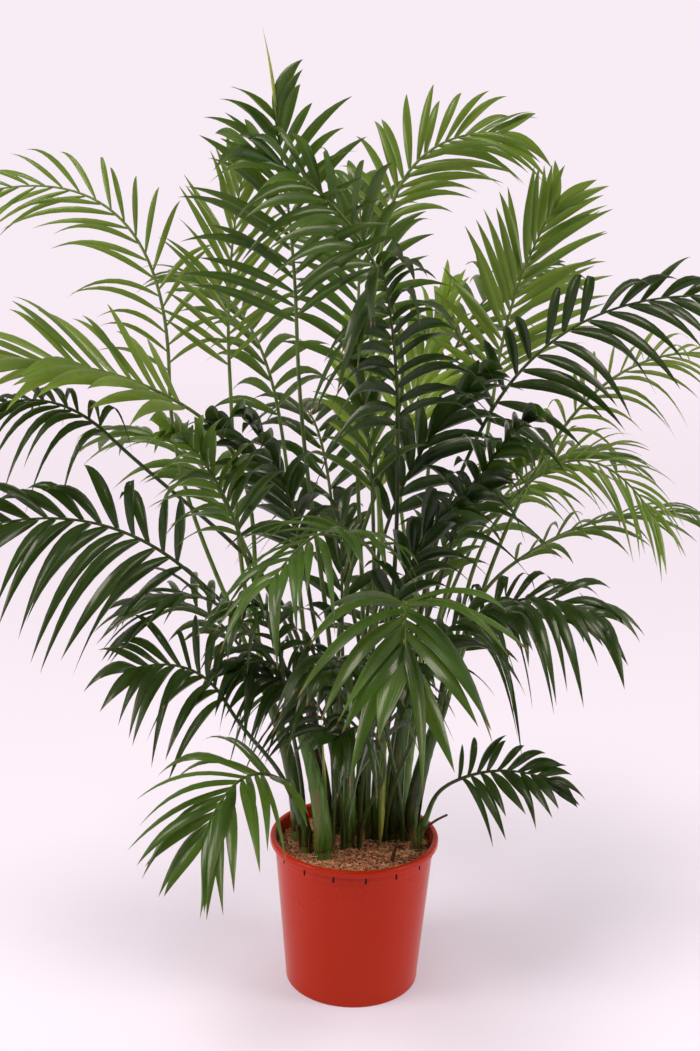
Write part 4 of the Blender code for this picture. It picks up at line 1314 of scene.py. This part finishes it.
# %% Camera
LENS = 50.0
SENSOR = 36.0
VIEW_FROM = Vector((-0.0198, -2.477, 1.4875))
VIEW_TILT = 76.0
VIEW_ROLL = 1.2
scene = bpy.context.scene
camera = put("camera", bpy.data.cameras.new("camera"))
camera.data.lens = LENS
camera.data.sensor_width = SENSOR
tilt = Matrix.Rotation(math.radians(VIEW_TILT), 4, "X")
roll = Matrix.Rotation(math.radians(VIEW_ROLL), 4, "Z")
camera.matrix_world = Matrix.Translation(VIEW_FROM) @ tilt @ roll
scene.camera = camera
scene.view_settings.view_transform = "Standard"
print("camera:", round(math.degrees(camera.data.angle)), "degrees wide, at", *VIEW_FROM[:])

# %% Floor
FLOOR_REACH = 12.0
work = bmesh.new()
bmesh.ops.create_circle(work, cap_ends=True, segments=96, radius=FLOOR_REACH)
floor = put("floor", baked("floor", work))
paper, node, shader, place = new_material("studio_paper")
# A faint glow stands for the light that a real room sends back to its floor. It grows outwards, so
# that the floor's edge melts into the sky.
away = pick(node(VECTOR, "LENGTH", place).outputs, "Value")
glow = node(RANGE, away, 1.5, 8.0, 0.28, 0.42)
feed(shader, Base_Color="#c2c2d6", Roughness=0.9, Emission_Color="#f6e6f4", Emission_Strength=glow)
floor.data.materials.append(paper)
print("floor:", 2 * FLOOR_REACH, "m across")


# %% Lamps and studio sky
WARM = "#fff3e4"
SUN_POWER = 1.9
SUN_BREADTH = 26  # degrees of the sky that it fills
SUN_TURNS = (20, -12, 0)  # from straight overhead, in degrees about each axis


def lamp(name, kind, power):
    light = bpy.data.lights.new(name, kind)
    light.energy = power
    light.color = linear(WARM)[:3]
    return put(name, light)


def softbox(name, place, aim, size, power):
    made = lamp(name, "AREA", power)
    made.data.shape = "SQUARE"
    made.data.size = size
    way = Vector(aim) - Vector(place)
    made.matrix_world = Matrix.Translation(place) @ way.to_track_quat("-Z", "Y").to_matrix().to_4x4()


softbox("key_left", (-2.7, -1.1, 2.1), (0, 0, 0.7), 1.3, 58)
softbox("fill_right", (2.8, -0.9, 1.9), (0, 0, 0.6), 1.3, 54)
# A soft sun stands for the lamps overhead, and lights the whole floor evenly
overhead = lamp("overhead", "SUN", SUN_POWER)
overhead.data.angle = math.radians(SUN_BREADTH)
overhead.matrix_world = Euler([math.radians(turn) for turn in SUN_TURNS]).to_matrix().to_4x4()
world = bpy.data.worlds.new("studio")
world.use_nodes = True
scene.world = world
node = partial(add, world.node_tree)
way = pick(node("TexCoord").outputs, "Generated")
front = pick(node("SeparateXYZ", way).outputs, "Y")
light = node(RANGE, front, -0.8, 0.1, 0.04, 0.62)
seen = pick(node("LightPath").outputs, "Is Camera Ray")
strength = node("Mix", {"data_type": "FLOAT"}, seen, light, 1.0)
feed(world.node_tree.nodes["Background"], blend(node, seen, WARM, "#f8ecf5"), strength)
print("lamps:", len(bpy.data.lights))

# %% [markdown]
# ## Hand over
#
# Each piece is told which body it rides on, a table pairs some pieces with the frame's finishes, and
# the frame's solids that the pieces take the place of are hidden.

# %% Hand over
SLOTS_OF = {f"leaflets_{green}": f"leaf_{green}" for green in LEAVES}
SLOTS_OF.update({"leaflets_fresh": "leaf_pale", "pot_shell": "pot", "soil_bed": "soil"})
SLOTS_OF.update({name: "soil" for name in LITTER})
for name, piece in pieces.items():
    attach(piece, "root")
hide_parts("pot")
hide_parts("soil")
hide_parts(*[cane.name for cane in CANES])
for green in LEAVES:
    names = [f"frond_{frond.name}" for frond in FRONDS if frond.green == green]
    stalks = [f"{name}_stalk" for name in names if f"{name}_stalk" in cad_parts]
    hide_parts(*names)
    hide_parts(*names, *stalks)
